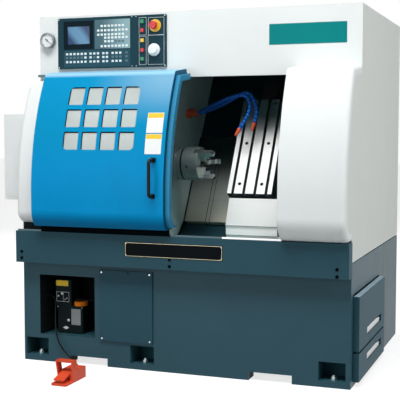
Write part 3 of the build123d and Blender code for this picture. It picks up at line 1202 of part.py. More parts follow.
def drawer(face_z0, face_z1, body_y0, body_z0, body_z1, slot_z):
    """Steel drawer with a folded face and a hand slot."""
    x_face = HALF_W + DRAWER_GAP
    x_out = HALF_W + DRAWER_PROUD
    y0 = BAY["y0"] - 4
    y1 = BAY["y1"] + 2
    face = open_box(x_face, x_out, y0, y1, face_z0, face_z1, DRAWER_WALL, 0)
    body = open_box(DRAWER_BACK, x_face + 2, body_y0, BAY["y1"] - 4, body_z0, body_z1, DRAWER_WALL, 5)
    backing = block(x_face, x_face + 2, y0, y1, face_z0 + 2, face_z1 - 2)
    middle = (y0 + y1) / 2 + 48
    y_slot0 = middle - SLOT_LENGTH / 2
    y_slot1 = middle + SLOT_LENGTH / 2
    cup = block(x_face, x_out, y_slot0 - 2, y_slot1 + 2, slot_z - 2, slot_z + SLOT_HEIGHT + 2)
    shape = face + body + backing + cup
    return shape - block(x_face + 4, x_out + 1, y_slot0, y_slot1, slot_z, slot_z + SLOT_HEIGHT)


def chip_drawer():
    """Upper drawer, which catches the chips."""
    floor = SHELF_Z + BAY_WALL
    return drawer(floor + 3, BAY["z1"] - 8, BAY["y0"] + 4, floor, BAY["z1"] - 25, 206)


def coolant_tank():
    """Lower drawer, which holds the coolant, narrower where the front foot stands."""
    y0 = -HALF_D + POCKET_DEPTH + POCKET_WALL + 8
    return drawer(TANK_FACE_BOTTOM, SHELF_Z - 3, y0, BAY["z0"], SHELF_Z - 8, 82)


def lubricator():
    """Oil pump in the niche: tank, pump head, filler cap and outlet pipe."""
    floor = NICHE["z0"] - 10
    tank_top = floor + LUBE_TANK["height"]
    tank = block(LUBE_TANK["x0"], LUBE_TANK["x1"], LUBE_TANK["y0"], LUBE_TANK["y1"], floor, tank_top)
    tank = fillet(tank.edges().filter_by(Axis.Z), 8)
    plate = block(LUBE_TANK["x0"] - 2, LUBE_TANK["x1"] + 2, LUBE_TANK["y0"] - 2, LUBE_TANK["y1"] + 2,
                  tank_top - 6, tank_top)
    head = block(LUBE_HEAD["x0"], LUBE_HEAD["x1"], LUBE_TANK["y0"] - 2, LUBE_HEAD["y1"],
                 tank_top, tank_top + LUBE_HEAD["height"])
    head = fillet(head.edges().filter_by(Axis.Z), 5)
    cap_x = (LUBE_HEAD["x1"] + LUBE_TANK["x1"]) / 2 + 3
    cap_y = LUBE_TANK["y0"] + LUBE_CAP_R + 2
    cap = rod_z(cap_x, cap_y, LUBE_CAP_R, tank_top, tank_top + LUBE_CAP_HEIGHT)
    pipe_z = tank_top + LUBE_PIPE_RISE
    pipe = rod_x(LUBE_HEAD["x1"] - 2, NICHE["x1"] + NICHE_WALL, 4, LUBE_TANK["y0"] + 22, pipe_z)
    nut = rod_x(NICHE["x1"] - 38, NICHE["x1"] - 14, 8, LUBE_TANK["y0"] + 22, pipe_z)
    return tank + plate + head + cap + pipe + nut


def pedal_pin():
    """Depth and height of the treadle's pin."""
    return PEDAL_BOX_FRONT - 8, PEDAL_BOX - 8


def pedal_housing():
    """Foot switch: base plate, terminal box and the hoop over the treadle."""
    x0, x1, y0, y1 = PEDAL["x0"], PEDAL["x1"], PEDAL["y0"], PEDAL["y1"]
    plate = block(x0, x1, y0, y1, 0, PEDAL_PLATE)
    plate = fillet(plate.edges().filter_by(Axis.Z), 8)
    box = block(x0, x1, PEDAL_BOX_FRONT, y1, 0, PEDAL_BOX)
    box = fillet(box.edges().filter_by(Axis.Z), 6)
    side = block(x1 - PEDAL_SIDE, x1, PEDAL_HOOD[0], y1 - 10, 0, PEDAL_BOX)
    foot = x0 + 4
    top = foot - PEDAL_HOOD_LEAN
    wall = PEDAL_WALL
    outer = [(x1, 0), (foot, 0), (top, PEDAL_HOOD_TOP), (x1 - 2, PEDAL_HOOD_TOP)]
    inner = [(x1 - wall, -1), (foot + wall, -1), (top + wall + 1, PEDAL_HOOD_TOP - wall),
             (x1 - 2 - wall, PEDAL_HOOD_TOP - wall)]
    hoop = xz_slab(outer, *PEDAL_HOOD) - xz_slab(inner, PEDAL_HOOD[0] - 1, PEDAL_HOOD[1] + 1)
    gland = rod_y(CABLE_POINTS[-1][0], CABLE_POINTS[-1][2], 8, y1 - 2, CABLE_POINTS[-1][1])
    space = block(x0 + 4 + wall, x1 - PEDAL_SIDE, PEDAL_BOX_FRONT - 18, PEDAL_BOX_FRONT,
                  PEDAL_PLATE, PEDAL_BOX + 1)
    pin = rod_x(x0 + 4, x1 - PEDAL_SIDE, PEDAL_PIN_R, *pedal_pin())
    return plate + box + side + hoop + gland - space + pin


def xz_slab(points, y0, y1):
    """A shape drawn in X and Z, drawn out between two depths."""
    corners = [(x, 0, z) for x, z in points]
    face = make_face(Polyline(*corners, close=True).edges())
    return Pos(0, y0, 0) * extrude(face, y1 - y0, dir=(0, 1, 0))


def pedal_treadle():
    """Treadle that turns on the pin behind the hoop."""
    x0 = PEDAL["x0"] + 4 + PEDAL_WALL + 2
    x1 = PEDAL["x1"] - PEDAL_SIDE - 2
    hinge_y, hinge_z = pedal_pin()
    front_y = PEDAL["y0"] + 6
    front_z = PEDAL_PLATE + 12
    plate = slab(yz_face([(front_y, front_z), (front_y, front_z + TREADLE), (hinge_y, hinge_z + 4 + TREADLE),
                          (hinge_y, hinge_z + 4)]), x0, x1)
    barrel = rod_x(x0, x1, PEDAL_PIN_R + 3, hinge_y, hinge_z)
    return plate + barrel - rod_x(x0 - 1, x1 + 1, PEDAL_PIN_R + 0.1, hinge_y, hinge_z)


def bend_radii(points):
    """Radius of each bend of the cable, as large as its two runs allow."""
    radii = []
    for before, here, after in zip(points, points[1:], points[2:]):
        first = Vector(*here) - Vector(*before)
        second = Vector(*after) - Vector(*here)
        turn = math.radians(first.get_angle(second))
        radii.append(0.45 * min(first.length, second.length) / math.tan(turn / 2))
    return radii


def pedal_cable():
    """Cable from the gland in the niche to the foot switch."""
    radii = bend_radii(CABLE_POINTS)
    print("cable radii", [round(radius) for radius in radii])
    path = FilletPolyline(*CABLE_POINTS, radius=radii)
    start = Vector(*CABLE_POINTS[1]) - Vector(*CABLE_POINTS[0])
    tube = sweep(Plane(origin=CABLE_POINTS[0], z_dir=start) * Circle(CABLE_R), path=path)
    print("cable length", round(path.length), "volume ratio",
          round(tube.volume / (math.pi * CABLE_R ** 2 * path.length), 4))
    return tube


def main():
    os.makedirs("parts", exist_ok=True)
    motor_body, _ = spindle_motor()
    pieces = {
        "base_cabinet": base_cabinet(),
        "levelling_bolts": levelling_bolts(),
        "access_panel": access_panel(),
        "panel_screws": panel_screws(),
        "chip_tray": chip_tray(),
        "left_side_panel": left_side_panel(),
        "right_side_panel": side_panel(RIGHT_SHAPE, 1),
        "rear_panel": rear_panel(),
        "header_cover": header_cover(),
        "left_front_panel": left_front_panel(),
        "right_front_panel": right_front_panel(),
        "chamber_liner": chamber_liner(),
        "belt_cover": belt_cover(),
        "electrical_door": electrical_door(),
        "electrical_cabinet": electrical_cabinet(),
        "bed_casting": bed_casting(),
        "headstock": headstock(),
        "spindle_bearings": spindle_bearings(),
        "spindle": spindle(),
        "chuck_body": chuck_body(),
        "spindle_motor": motor_body,
        "motor_pulley": motor_pulley(),
        "drive_belt": drive_belt(),
        "z_screw": z_screw(),
        "z_motor": z_motor(),
        "saddle": saddle(),
        "x_screw": x_screw(),
        "x_motor": x_motor(),
        "tool_table": tool_table(),
        "z_cover_fixed": z_cover_fixed(),
        "z_cover_middle": way_cover(*COVER_MIDDLE_X, 1, COVER_LIP),
        "z_cover_saddle": way_cover(COVER_SADDLE_LEFT, SADDLE_X[0], 0, COVER_LIP),
        "saddle_apron": saddle_apron(),
        "coolant_valve": coolant_valve(),
        "coolant_hoses": [hose(HOSE_1), hose(HOSE_2)],
        "door_panel": door_panel(),
        "door_window": door_window(),
        "door_handle": door_handle(),
        "door_rail": door_rail(),
        "console_panel": console_panel(),
        "console_screen": console_screen(),
        "console_keys": console_keys(),
        "estop_button": estop_button(),
        "selector_knob": selector_knob(),
        "gauge_body": gauge_body(),
        "gauge_needle": gauge_needle(),
        "chip_drawer": chip_drawer(),
        "coolant_tank": coolant_tank(),
        "lubricator": lubricator(),
        "pedal_housing": pedal_housing(),
        "pedal_treadle": pedal_treadle(),
        "pedal_cable": pedal_cable(),
    }
    for index, angle in enumerate(JAW_ANGLES):
        pieces["jaw_" + str(index + 1)] = jaw(angle)
    for name, z in BUTTONS:
        pieces[name] = push_button(z)
    for name, shape in pieces.items():
        write(name, shape)


main()
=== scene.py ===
import math

import bmesh
import bpy
from mathutils import Matrix, Vector


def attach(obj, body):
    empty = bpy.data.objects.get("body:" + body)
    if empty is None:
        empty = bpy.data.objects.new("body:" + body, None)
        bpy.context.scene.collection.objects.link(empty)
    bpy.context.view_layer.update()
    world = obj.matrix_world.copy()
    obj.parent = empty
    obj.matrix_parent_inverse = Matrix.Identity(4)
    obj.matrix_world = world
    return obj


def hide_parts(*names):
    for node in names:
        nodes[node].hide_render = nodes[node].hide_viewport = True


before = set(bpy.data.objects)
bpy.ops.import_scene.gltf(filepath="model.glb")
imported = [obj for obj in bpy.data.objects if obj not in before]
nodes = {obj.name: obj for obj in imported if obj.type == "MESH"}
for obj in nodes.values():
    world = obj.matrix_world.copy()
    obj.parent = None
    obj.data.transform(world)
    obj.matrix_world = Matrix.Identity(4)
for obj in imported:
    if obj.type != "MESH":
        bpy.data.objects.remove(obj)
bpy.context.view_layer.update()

MM = 0.001
SPINDLE_Y = -393
SPINDLE_Z = 1003
SLOPE = math.radians(60)
HEADER_Y = -453
CONSOLE_Y = -465
DRAWER_TOP = 417
LEDGE_Y = -710
PUMP_PANEL_Y = -555.4
PUMP_TANK_Y = -553.2
ESTOP = (-185, 1683)
GAUGE = (-784, 1629)
GAUGE_DEPTH = 30
WINDOW_MIDDLE = (-361, 1226)
WINDOW_PITCH = (98, 108)
LATCH = (-265, 467)
LATCH_SIZE = (14, 7.5)
FORK_WALLS = (-583, 357)
DIAL_START = 225
DIAL_SPAN = 270
DIAL_TICKS = 40


def lin(r, g, b):
    """Linear colour from 0..255 screen values."""
    out = []
    for c in (r, g, b):
        c /= 255
        out.append(c / 12.92 if c <= 0.04045 else ((c + 0.055) / 1.055) ** 2.4)
    return (out[0], out[1], out[2], 1)


# Camera: a long lens at chest height, in front of the machine and to its right
def camera():
    data = bpy.data.cameras.new("camera")
    cam = bpy.data.objects.new("camera", data)
    bpy.context.scene.collection.objects.link(cam)
    data.lens = 85.78
    data.sensor_width = 36
    data.clip_end = 60
    yaw = 0.358
    pitch = 0.072
    look = Vector((-math.sin(yaw) * math.cos(pitch), math.cos(yaw) * math.cos(pitch), -math.sin(pitch)))
    cam.location = (1.6861, -4.8369, 1.1633)
    cam.rotation_euler = look.to_track_quat("-Z", "Y").to_euler()
    bpy.context.scene.camera = cam


# Materials, all from nodes
def new_material(name):
    mat = bpy.data.materials.new(name)
    mat.use_nodes = True
    return mat, mat.node_tree, mat.node_tree.nodes["Principled BSDF"]


def adjust(key, name, value):
    """Set one shader value of a finished material."""
    M[key].node_tree.nodes["Principled BSDF"].inputs[name].default_value = value


def noise(tree, scale, detail=3, rough=0.5, stretch=(1, 1, 1)):
    """Noise in object space; stretch scales each axis."""
    coord = tree.nodes.new("ShaderNodeTexCoord")
    mapping = tree.nodes.new("ShaderNodeMapping")
    mapping.inputs["Scale"].default_value = stretch
    tex = tree.nodes.new("ShaderNodeTexNoise")
    tex.inputs["Scale"].default_value = scale
    tex.inputs["Detail"].default_value = detail
    tex.inputs["Roughness"].default_value = rough
    tree.links.new(coord.outputs["Object"], mapping.inputs["Vector"])
    tree.links.new(mapping.outputs["Vector"], tex.inputs["Vector"])
    return tex


def ramp(tree, source, stops):
    node = tree.nodes.new("ShaderNodeValToRGB")
    elements = node.color_ramp.elements
    while len(elements) < len(stops):
        elements.new(0.5)
    for element, (at, colour) in zip(elements, stops):
        element.position = at
        element.color = colour
    tree.links.new(source, node.inputs["Fac"])
    return node


def shade(colour, factor):
    return tuple(min(1, c * factor) for c in colour[:3]) + (1,)


def bump(tree, bsdf, height, strength, distance):
    node = tree.nodes.new("ShaderNodeBump")
    node.inputs["Strength"].default_value = strength
    node.inputs["Distance"].default_value = distance
    tree.links.new(height, node.inputs["Height"])
    tree.links.new(node.outputs["Normal"], bsdf.inputs["Normal"])


def paint(name, colour, rough=0.4, vary=0.06, grain=900, grain_strength=0.05, coat=0.0, shine=0.2):
    """Powder coat: slow tone changes, fine orange peel, and roughness that follows it."""
    mat, tree, bsdf = new_material(name)
    slow = noise(tree, 3.5, 4, 0.6)
    tone = ramp(tree, slow.outputs["Fac"], [(0.3, shade(colour, 1 - vary)), (0.7, shade(colour, 1 + vary))])
    tree.links.new(tone.outputs["Color"], bsdf.inputs["Base Color"])
    peel = noise(tree, grain, 2, 0.5)
    bump(tree, bsdf, peel.outputs["Fac"], grain_strength, 0.0006)
    spread = tree.nodes.new("ShaderNodeMapRange")
    spread.inputs["To Min"].default_value = max(0.02, rough - 0.05)
    spread.inputs["To Max"].default_value = rough + 0.07
    tree.links.new(slow.outputs["Fac"], spread.inputs["Value"])
    tree.links.new(spread.outputs["Result"], bsdf.inputs["Roughness"])
    bsdf.inputs["Coat Weight"].default_value = coat
    bsdf.inputs["Coat Roughness"].default_value = 0.12
    bsdf.inputs["Specular IOR Level"].default_value = shine
    return mat


def metal(name, colour, rough=0.3, vary=0.08, stretch=(1, 1, 1), scale=60, strength=0.08, stain=None):
    """Brushed or ground metal: streaks along one axis in tone, roughness and bump."""
    mat, tree, bsdf = new_material(name)
    bsdf.inputs["Metallic"].default_value = 1.0
    streak = noise(tree, scale, 5, 0.7, stretch)
    tone = ramp(tree, streak.outputs["Fac"], [(0.3, shade(colour, 1 - vary)), (0.7, shade(colour, 1 + vary))])
    out = tone.outputs["Color"]
    if stain:
        spots = noise(tree, 5, 6, 0.7)
        mask = ramp(tree, spots.outputs["Fac"], [(0.52, (0, 0, 0, 1)), (0.75, (1, 1, 1, 1))])
        mix = tree.nodes.new("ShaderNodeMix")
        mix.data_type = "RGBA"
        tree.links.new(mask.outputs["Color"], mix.inputs[0])
        tree.links.new(out, mix.inputs[6])
        mix.inputs[7].default_value = stain
        out = mix.outputs[2]
    tree.links.new(out, bsdf.inputs["Base Color"])
    spread = tree.nodes.new("ShaderNodeMapRange")
    spread.inputs["To Min"].default_value = max(0.05, rough - 0.08)
    spread.inputs["To Max"].default_value = rough + 0.1
    tree.links.new(streak.outputs["Fac"], spread.inputs["Value"])
    tree.links.new(spread.outputs["Result"], bsdf.inputs["Roughness"])
    bump(tree, bsdf, streak.outputs["Fac"], strength, 0.0004)
    return mat


def sum_of(tree, kind, a, b):
    """One arithmetic node; each side is a socket or a number."""
    node = tree.nodes.new("ShaderNodeMath")
    node.operation = kind
    for slot, value in zip(node.inputs, (a, b)):
        if type(value) in (int, float):
            slot.default_value = value
        else:
            tree.links.new(value, slot)
    return node.outputs[0]


def position(tree):
    """Object coordinates as X, Y and Z, and as V and H of the slanted bed."""
    coord = tree.nodes.new("ShaderNodeTexCoord")
    split = tree.nodes.new("ShaderNodeSeparateXYZ")
    tree.links.new(coord.outputs["Object"], split.inputs[0])
    x, y, z = split.outputs
    dy = sum_of(tree, "SUBTRACT", y, SPINDLE_Y * MM)
    dz = sum_of(tree, "SUBTRACT", z, SPINDLE_Z * MM)
    cos, sin = math.cos(SLOPE), math.sin(SLOPE)
    v = sum_of(tree, "ADD", sum_of(tree, "MULTIPLY", dy, cos), sum_of(tree, "MULTIPLY", dz, sin))
    h = sum_of(tree, "SUBTRACT", sum_of(tree, "MULTIPLY", dz, cos), sum_of(tree, "MULTIPLY", dy, sin))
    return {"x": x, "y": y, "z": z, "v": v, "h": h}


def inside(tree, **limits):
    """Mask that is 1 between the limits, given in millimetres for each axis."""
    at = position(tree)
    mask = 1.0
    for axis, (low, high) in limits.items():
        above = sum_of(tree, "GREATER_THAN", at[axis], low * MM)
        below = sum_of(tree, "LESS_THAN", at[axis], high * MM)
        mask = sum_of(tree, "MULTIPLY", mask, sum_of(tree, "MULTIPLY", above, below))
    return mask


def patch(mat, colour, rough=None, **limits):
    """Another colour, and roughness if given, between the limits."""
    tree = mat.node_tree
    bsdf = tree.nodes["Principled BSDF"]
    mask = inside(tree, **limits)
    for name, value, kind in (("Base Color", colour, "RGBA"), ("Roughness", rough, "FLOAT")):
        if value is None:
            continue
        slot = bsdf.inputs[name]
        mix = tree.nodes.new("ShaderNodeMix")
        mix.data_type = kind
        a, b, out = (6, 7, 2) if kind == "RGBA" else (2, 3, 0)
        tree.links.new(mask, mix.inputs[0])
        tree.links.new(slot.links[0].from_socket, mix.inputs[a])
        mix.inputs[b].default_value = value
        tree.links.new(mix.outputs[out], slot)


def plastic(name, colour, rough=0.35, vary=0.05, scale=300, strength=0.04, coat=0.0, shine=0.3):
    """Moulded plastic with a very fine texture."""
    return paint(name, colour, rough, vary, scale, strength, coat, shine)


def fade(mat, colour, axis, low, high, limit_x=None):
    """Another colour that comes in slowly from one limit to the other, in millimetres."""
    tree = mat.node_tree
    slot = tree.nodes["Principled BSDF"].inputs["Base Color"]
    at = position(tree)
    mask = slope_of(tree, at[axis], low, high)
    if limit_x:
        mask = sum_of(tree, "MULTIPLY", mask, slope_of(tree, at["x"], *limit_x))
    mix = tree.nodes.new("ShaderNodeMix")
    mix.data_type = "RGBA"
    tree.links.new(mask, mix.inputs[0])
    tree.links.new(slot.links[0].from_socket, mix.inputs[6])
    mix.inputs[7].default_value = colour
    tree.links.new(mix.outputs[2], slot)


def slope_of(tree, source, low, high):
    """Smooth step from 0 at the first limit to 1 at the second."""
    node = tree.nodes.new("ShaderNodeMapRange")
    node.interpolation_type = "SMOOTHSTEP"
    node.inputs["From Min"].default_value = low * MM
    node.inputs["From Max"].default_value = high * MM
    tree.links.new(source, node.inputs["Value"])
    return node.outputs["Result"]


def glass(name, tint, alpha, rough=0.03):
    mat, tree, bsdf = new_material(name)
    smear = noise(tree, 6, 4, 0.6)
    tone = ramp(tree, smear.outputs["Fac"], [(0.3, shade(tint, 0.94)), (0.7, tint)])
    tree.links.new(tone.outputs["Color"], bsdf.inputs["Base Color"])
    bsdf.inputs["Roughness"].default_value = rough
    bsdf.inputs["Alpha"].default_value = alpha
    bsdf.inputs["IOR"].default_value = 1.45
    return mat


BASE = lin(44, 78, 90)
# Near-black colour for the painted shadow under the door
UNDER_DOOR_SHADE = lin(5, 16, 20)
M = {}


def make_materials():
    M["base"] = paint("base_paint", BASE, 0.4, 0.05, 700, 0.08)
    patch(M["base"], lin(40, 84, 94), 0.8, x=(-838, 838), y=(-634.5, 634.5), z=(-1, 569.5))
    # Painted shade: the niche around the oil pump is darkened to near black
    patch(M["base"], lin(3, 12, 15), 0.8, x=(-756, -430), y=(-641, -250), z=(132, 450))
    M["tray"] = paint("tray_paint", BASE, 0.5, 0.05, 700, 0.08, shine=0.1)
    # Painted light: the front of the chip tray inside the chamber is painted pale teal, as if lit
    patch(M["tray"], lin(176, 222, 222), x=(-149, 838), y=(-641.2, -300), z=(560, 667))
    M["shell"] = paint("shell_paint", lin(230, 235, 234), 0.42, 0.012, 800, 0.05)
    M["left_shell"] = paint("left_shell_paint", lin(232, 236, 235), 0.42, 0.015, 800, 0.05)
    # Painted shadow: the left front panel below the door's bottom edge is near black
    patch(M["left_shell"], UNDER_DOOR_SHADE, 0.8, z=(600, 707))
    M["side"] = paint("side_paint", lin(220, 225, 221), 0.5, 0.02, 800, 0.05, shine=0.1)
    M["door"] = paint("door_paint", lin(0, 144, 204), 0.34, 0.05, 900, 0.02, shine=0.05)
    # Painted light on the door: its tone shifts above 960 mm, a painted sheen lightens the upper right, a
    # painted highlight runs along the top edge, and painted shade darkens the bottom
    fade(M["door"], lin(8, 142, 192), "z", 960, 1160)
    fade(M["door"], lin(120, 174, 206), "z", 1180, 1420, (-470, -40))
    fade(M["door"], lin(150, 202, 230), "z", 1425, 1440)
    fade(M["door"], lin(0, 112, 164), "z", 790, 710)
    # Painted shade: the rim darker than the skin, with a darker painted shadow line along the step beside it
    patch(M["door"], lin(56, 138, 178), x=(-11.9, 12))
    patch(M["door"], lin(8, 84, 116), x=(-14, -11.9))
    # Painted shadow: the door below its bottom edge, rollers included, is near black
    patch(M["door"], (0, 0.002, 0.003, 1), 0.9, z=(600, 700.5))
    M["stainless"] = metal("stainless", (0.30, 0.33, 0.30, 1), 0.46, 0.10, (1, 30, 30), 8, 0.05,
                           stain=(0.30, 0.27, 0.19, 1))
    adjust("stainless", "Metallic", 0.4)
    # Painted light: the covers get lighter toward the lower end, and painted shade darkens them toward the
    # top of the chamber
    fade(M["stainless"], (0.60, 0.58, 0.48, 1), "v", -20, -155)
    fade(M["stainless"], lin(20, 46, 48), "v", 20, 280)
    # Painted shadow: dark lines at the steps where the covers overlap
    patch(M["stainless"], lin(20, 22, 18), x=(-34, -29.5))
    patch(M["stainless"], lin(60, 60, 50), x=(-12.5, -9.5))
    M["apron"] = metal("apron_steel", (1.0, 0.99, 0.955, 1), 0.45, 0.03, (40, 2, 2), 6, 0.03)
    adjust("apron", "Metallic", 0.15)
    # Painted shadow: dark lines under the lips where the apron steps back
    for z in (697, 650):
        patch(M["apron"], lin(60, 62, 60), x=(100, 600), z=(z - 1.8, z + 1.8))
    M["liner"] = paint("liner_paint", lin(190, 216, 214), 0.5, 0.06, 600, 0.04, shine=0.1)
    # Painted light and shade: the liner gets lighter toward the bottom, and everything except the left wall
    # is darkened as painted shade
    fade(M["liner"], lin(226, 240, 238), "z", 1000, 780)
    patch(M["liner"], lin(22, 46, 52), x=(-149.5, 900))
    M["casting"] = paint("casting_paint", lin(40, 62, 66), 0.6, 0.1, 260, 0.3, shine=0.08)
    M["ground"] = metal("ground_steel", (0.86, 0.86, 0.85, 1), 0.28, 0.05, (60, 1, 1), 7, 0.05)
    M["table"] = metal("table_steel", (0.85, 0.86, 0.84, 1), 0.5, 0.05, (50, 3, 3), 8, 0.03)
    adjust("table", "Metallic", 0.1)
    adjust("table", "Specular IOR Level", 0.1)
    # Painted shade: everything below the top face (T-slots and sides) and the lower end face is dark
    patch(M["table"], (0.02, 0.035, 0.04, 1), h=(-400, -73.5))
    patch(M["table"], (0.015, 0.024, 0.028, 1), v=(-200, -125.2))
    M["chuck"] = metal("chuck_steel", (0.24, 0.29, 0.27, 1), 0.30, 0.12, (40, 1, 1), 8, 0.08)
    adjust("chuck", "Metallic", 0.6)
    # Painted shade in the chuck's groove
    patch(M["chuck"], (0.02, 0.03, 0.03, 1), x=(-54, -45))
    M["jaw"] = metal("jaw_steel", (0.42, 0.46, 0.44, 1), 0.24, 0.12, (1, 20, 20), 10, 0.10)
    # Painted shadow: the table gets darker toward its upper end, under the header
    fade(M["table"], lin(70, 92, 94), "v", 175, 330)
    # Pale colour of a painted highlight along the drawer's top edge
    M["painted_highlight_edge"] = paint("painted_highlight_edge", lin(178, 204, 218), 0.4, 0.12, 500, 0.05)
    # Painted shade: the rail steel is dark so it reads as shade under the door
    M["rail"] = metal("rail_steel", (0.10, 0.15, 0.17, 1), 0.5, 0.05, (60, 1, 1), 7, 0.05)
    # Painted highlight: a pale strip below the apron at rest; the rail is fixed, so it doesn't follow the
    # saddle
    patch(M["rail"], (0.9, 0.9, 0.88, 1), x=(246, 532), z=(660, 690))
    M["lens"] = glass("lens_clear", (0.9, 0.95, 0.95, 1), 0.1)
    M["motor"] = paint("motor_paint", lin(32, 33, 36), 0.4, 0.1, 300, 0.15)
    M["rubber_and_shadow"] = paint("belt_rubber", lin(24, 24, 25), 0.7, 0.12, 700, 0.25)
    M["pane"] = glass("pane_clear", (0.82, 0.90, 0.87, 1), 0.42)
    M["console"] = paint("console_face", lin(24, 58, 68), 0.45, 0.06, 900, 0.05, shine=0.1)
    M["handle"] = plastic("handle_black", lin(6, 9, 12), 0.3, 0.1, 400, 0.04, shine=0.2)
    M["bezel"] = plastic("bezel_black", lin(10, 26, 34), 0.5, 0.1, 600, 0.04, shine=0.06)
    M["green"] = plastic("button_green", lin(10, 132, 86), 0.25, 0.06, 500, 0.03, coat=0.2)
    M["red"] = plastic("button_red", lin(200, 30, 40), 0.25, 0.06, 500, 0.03, coat=0.2)
    M["yellow"] = plastic("button_yellow", lin(232, 184, 50), 0.25, 0.06, 500, 0.03, coat=0.2)
    M["white"] = plastic("white_plastic", lin(236, 240, 239), 0.3, 0.03, 500, 0.03)
    M["blue_bead"] = plastic("bead_blue", lin(0, 92, 186), 0.3, 0.08, 400, 0.05)
    M["orange"] = plastic("orange_plastic", lin(232, 98, 58), 0.35, 0.08, 400, 0.05)
    M["gauge"] = metal("gauge_bezel", (0.24, 0.28, 0.31, 1), 0.5, 0.1, (1, 1, 1), 40, 0.03)
    M["oil"] = plastic("oil_tank", lin(22, 34, 36), 0.45, 0.1, 200, 0.08, shine=0.05)
    patch(M["oil"], lin(244, 136, 36), x=(-616.5, -540), z=(272.5, 295))
    patch(M["oil"], lin(8, 18, 20), x=(-616.5, -430), z=(296, 340))
    patch(M["oil"], lin(220, 224, 220), x=(-478.5, -453.5), z=(296, 314))
    M["pedal"] = paint("pedal_enamel", lin(228, 84, 50), 0.34, 0.07, 500, 0.10)
    M["cable"] = paint("cable_rubber", lin(8, 12, 14), 0.5, 0.12, 900, 0.2, shine=0.12)
    M["teal"] = paint("teal_plate", lin(0, 128, 130), 0.4, 0.04, 900, 0.04, shine=0.1)
    M["plate_black"] = paint("plate_black", lin(6, 12, 15), 0.4, 0.1, 900, 0.04, shine=0.04)
    M["brass"] = metal("plate_brass", (0.72, 0.64, 0.44, 1), 0.3, 0.08, (20, 1, 1), 20, 0.04)
    M["zinc"] = metal("zinc_steel", (0.80, 0.81, 0.82, 1), 0.35, 0.1, (1, 1, 1), 200, 0.05)
    patch(M["zinc"], (0.002, 0.003, 0.004, 1), z=(500, 700))
    M["stud"] = metal("stud_steel", (0.62, 0.68, 0.70, 1), 0.4, 0.1, (1, 1, 1), 200, 0.05)
    M["label_yellow"] = paint("label_yellow", lin(232, 196, 58), 0.45, 0.08, 900, 0.04)
    M["plate_grey"] = paint("plate_grey", lin(150, 160, 158), 0.45, 0.22, 900, 0.04)
    M["screen"] = screen_material()
    M["pad"] = paint("keypad_grey", lin(74, 104, 114), 0.45, 0.06, 1200, 0.06, shine=0.1)
    fade(M["pad"], lin(142, 172, 178), "x", -500, -330)
    M["pad_dark"] = paint("keypad_dark", lin(40, 76, 88), 0.45, 0.08, 1200, 0.06, shine=0.1)
    M["key"] = plastic("key_light", lin(222, 232, 232), 0.35, 0.06, 500, 0.04)
    M["key_dark"] = plastic("key_dark", lin(84, 112, 120), 0.4, 0.06, 500, 0.04)


def screen_material():
    """Dark display with a painted sheen across it, in slow bands."""
    mat, tree, bsdf = new_material("screen_glass")
    coord = tree.nodes.new("ShaderNodeTexCoord")
    mapping = tree.nodes.new("ShaderNodeMapping")
    mapping.inputs["Rotation"].default_value = (0, math.radians(35), 0)
    mapping.inputs["Location"].default_value = (0.62, 0, -1.62)
    grad = tree.nodes.new("ShaderNodeTexWave")
    grad.wave_type = "BANDS"
    grad.bands_direction = "X"
    grad.inputs["Scale"].default_value = 2.2
    grad.inputs["Distortion"].default_value = 2.5
    grad.inputs["Detail"].default_value = 2
    tree.links.new(coord.outputs["Object"], mapping.inputs["Vector"])
    tree.links.new(mapping.outputs["Vector"], grad.inputs["Vector"])
    tone = ramp(tree, grad.outputs["Fac"], [(0.15, lin(18, 58, 100)), (0.85, lin(86, 136, 170))])
    tree.links.new(tone.outputs["Color"], bsdf.inputs["Base Color"])
    bsdf.inputs["Roughness"].default_value = 0.12
    bsdf.inputs["Specular IOR Level"].default_value = 0.25
    return mat


NODE_MATERIALS = {
    "base": ["base_cabinet"],
    "tray": ["access_panel", "chip_tray", "chip_drawer", "coolant_tank"],
    "shell": ["header_cover", "right_front_panel", "rear_panel", "belt_cover",
              "electrical_door", "electrical_cabinet"],
    "left_shell": ["left_front_panel"],
    "side": ["left_side_panel", "right_side_panel"],
    "liner": ["chamber_liner"],
    "casting": ["bed_casting", "headstock", "saddle"],
    "ground": ["spindle_bearings", "spindle", "motor_pulley", "z_screw", "x_screw"],
    "rail": ["door_rail"],
    "table": ["tool_table"],
    "chuck": ["chuck_body"],
    "jaw": ["jaw_1", "jaw_2", "jaw_3"],
    "motor": ["spindle_motor", "z_motor", "x_motor"],
    "rubber_and_shadow": ["drive_belt"],
    "stainless": ["z_cover_fixed", "z_cover_middle", "z_cover_saddle"],
    "apron": ["saddle_apron"],
    "orange": ["coolant_valve"],
    "door": ["door_panel"],
    "pane": ["door_window"],
    "handle": ["door_handle", "gauge_needle"],
    "console": ["console_panel"],
    "screen": ["console_screen"],
    "green": ["button_green_top", "button_green_bottom"],
    "red": ["button_red_upper", "button_red_lower", "estop_button"],
    "yellow": ["button_yellow"],
    "white": ["selector_knob"],
    "gauge": ["gauge_body"],
    "oil": ["lubricator"],
    "pedal": ["pedal_housing", "pedal_treadle"],
    "zinc": ["panel_screws"],
    "stud": ["levelling_bolts"],
}


def dress_nodes():
    for key, names in NODE_MATERIALS.items():
        for name in names:
            data = nodes[name].data
            data.materials.clear()
            data.materials.append(M[key])


def link(name, mesh, material, body):
    obj = bpy.data.objects.new(name, mesh)
    bpy.context.scene.collection.objects.link(obj)
    if material:
        mesh.materials.append(material)
    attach(obj, body)
    return obj


def to_mesh(name, bm):
    bmesh.ops.recalc_face_normals(bm, faces=bm.faces)
    mesh = bpy.data.meshes.new(name)
    bm.to_mesh(mesh)
    bm.free()
    return mesh


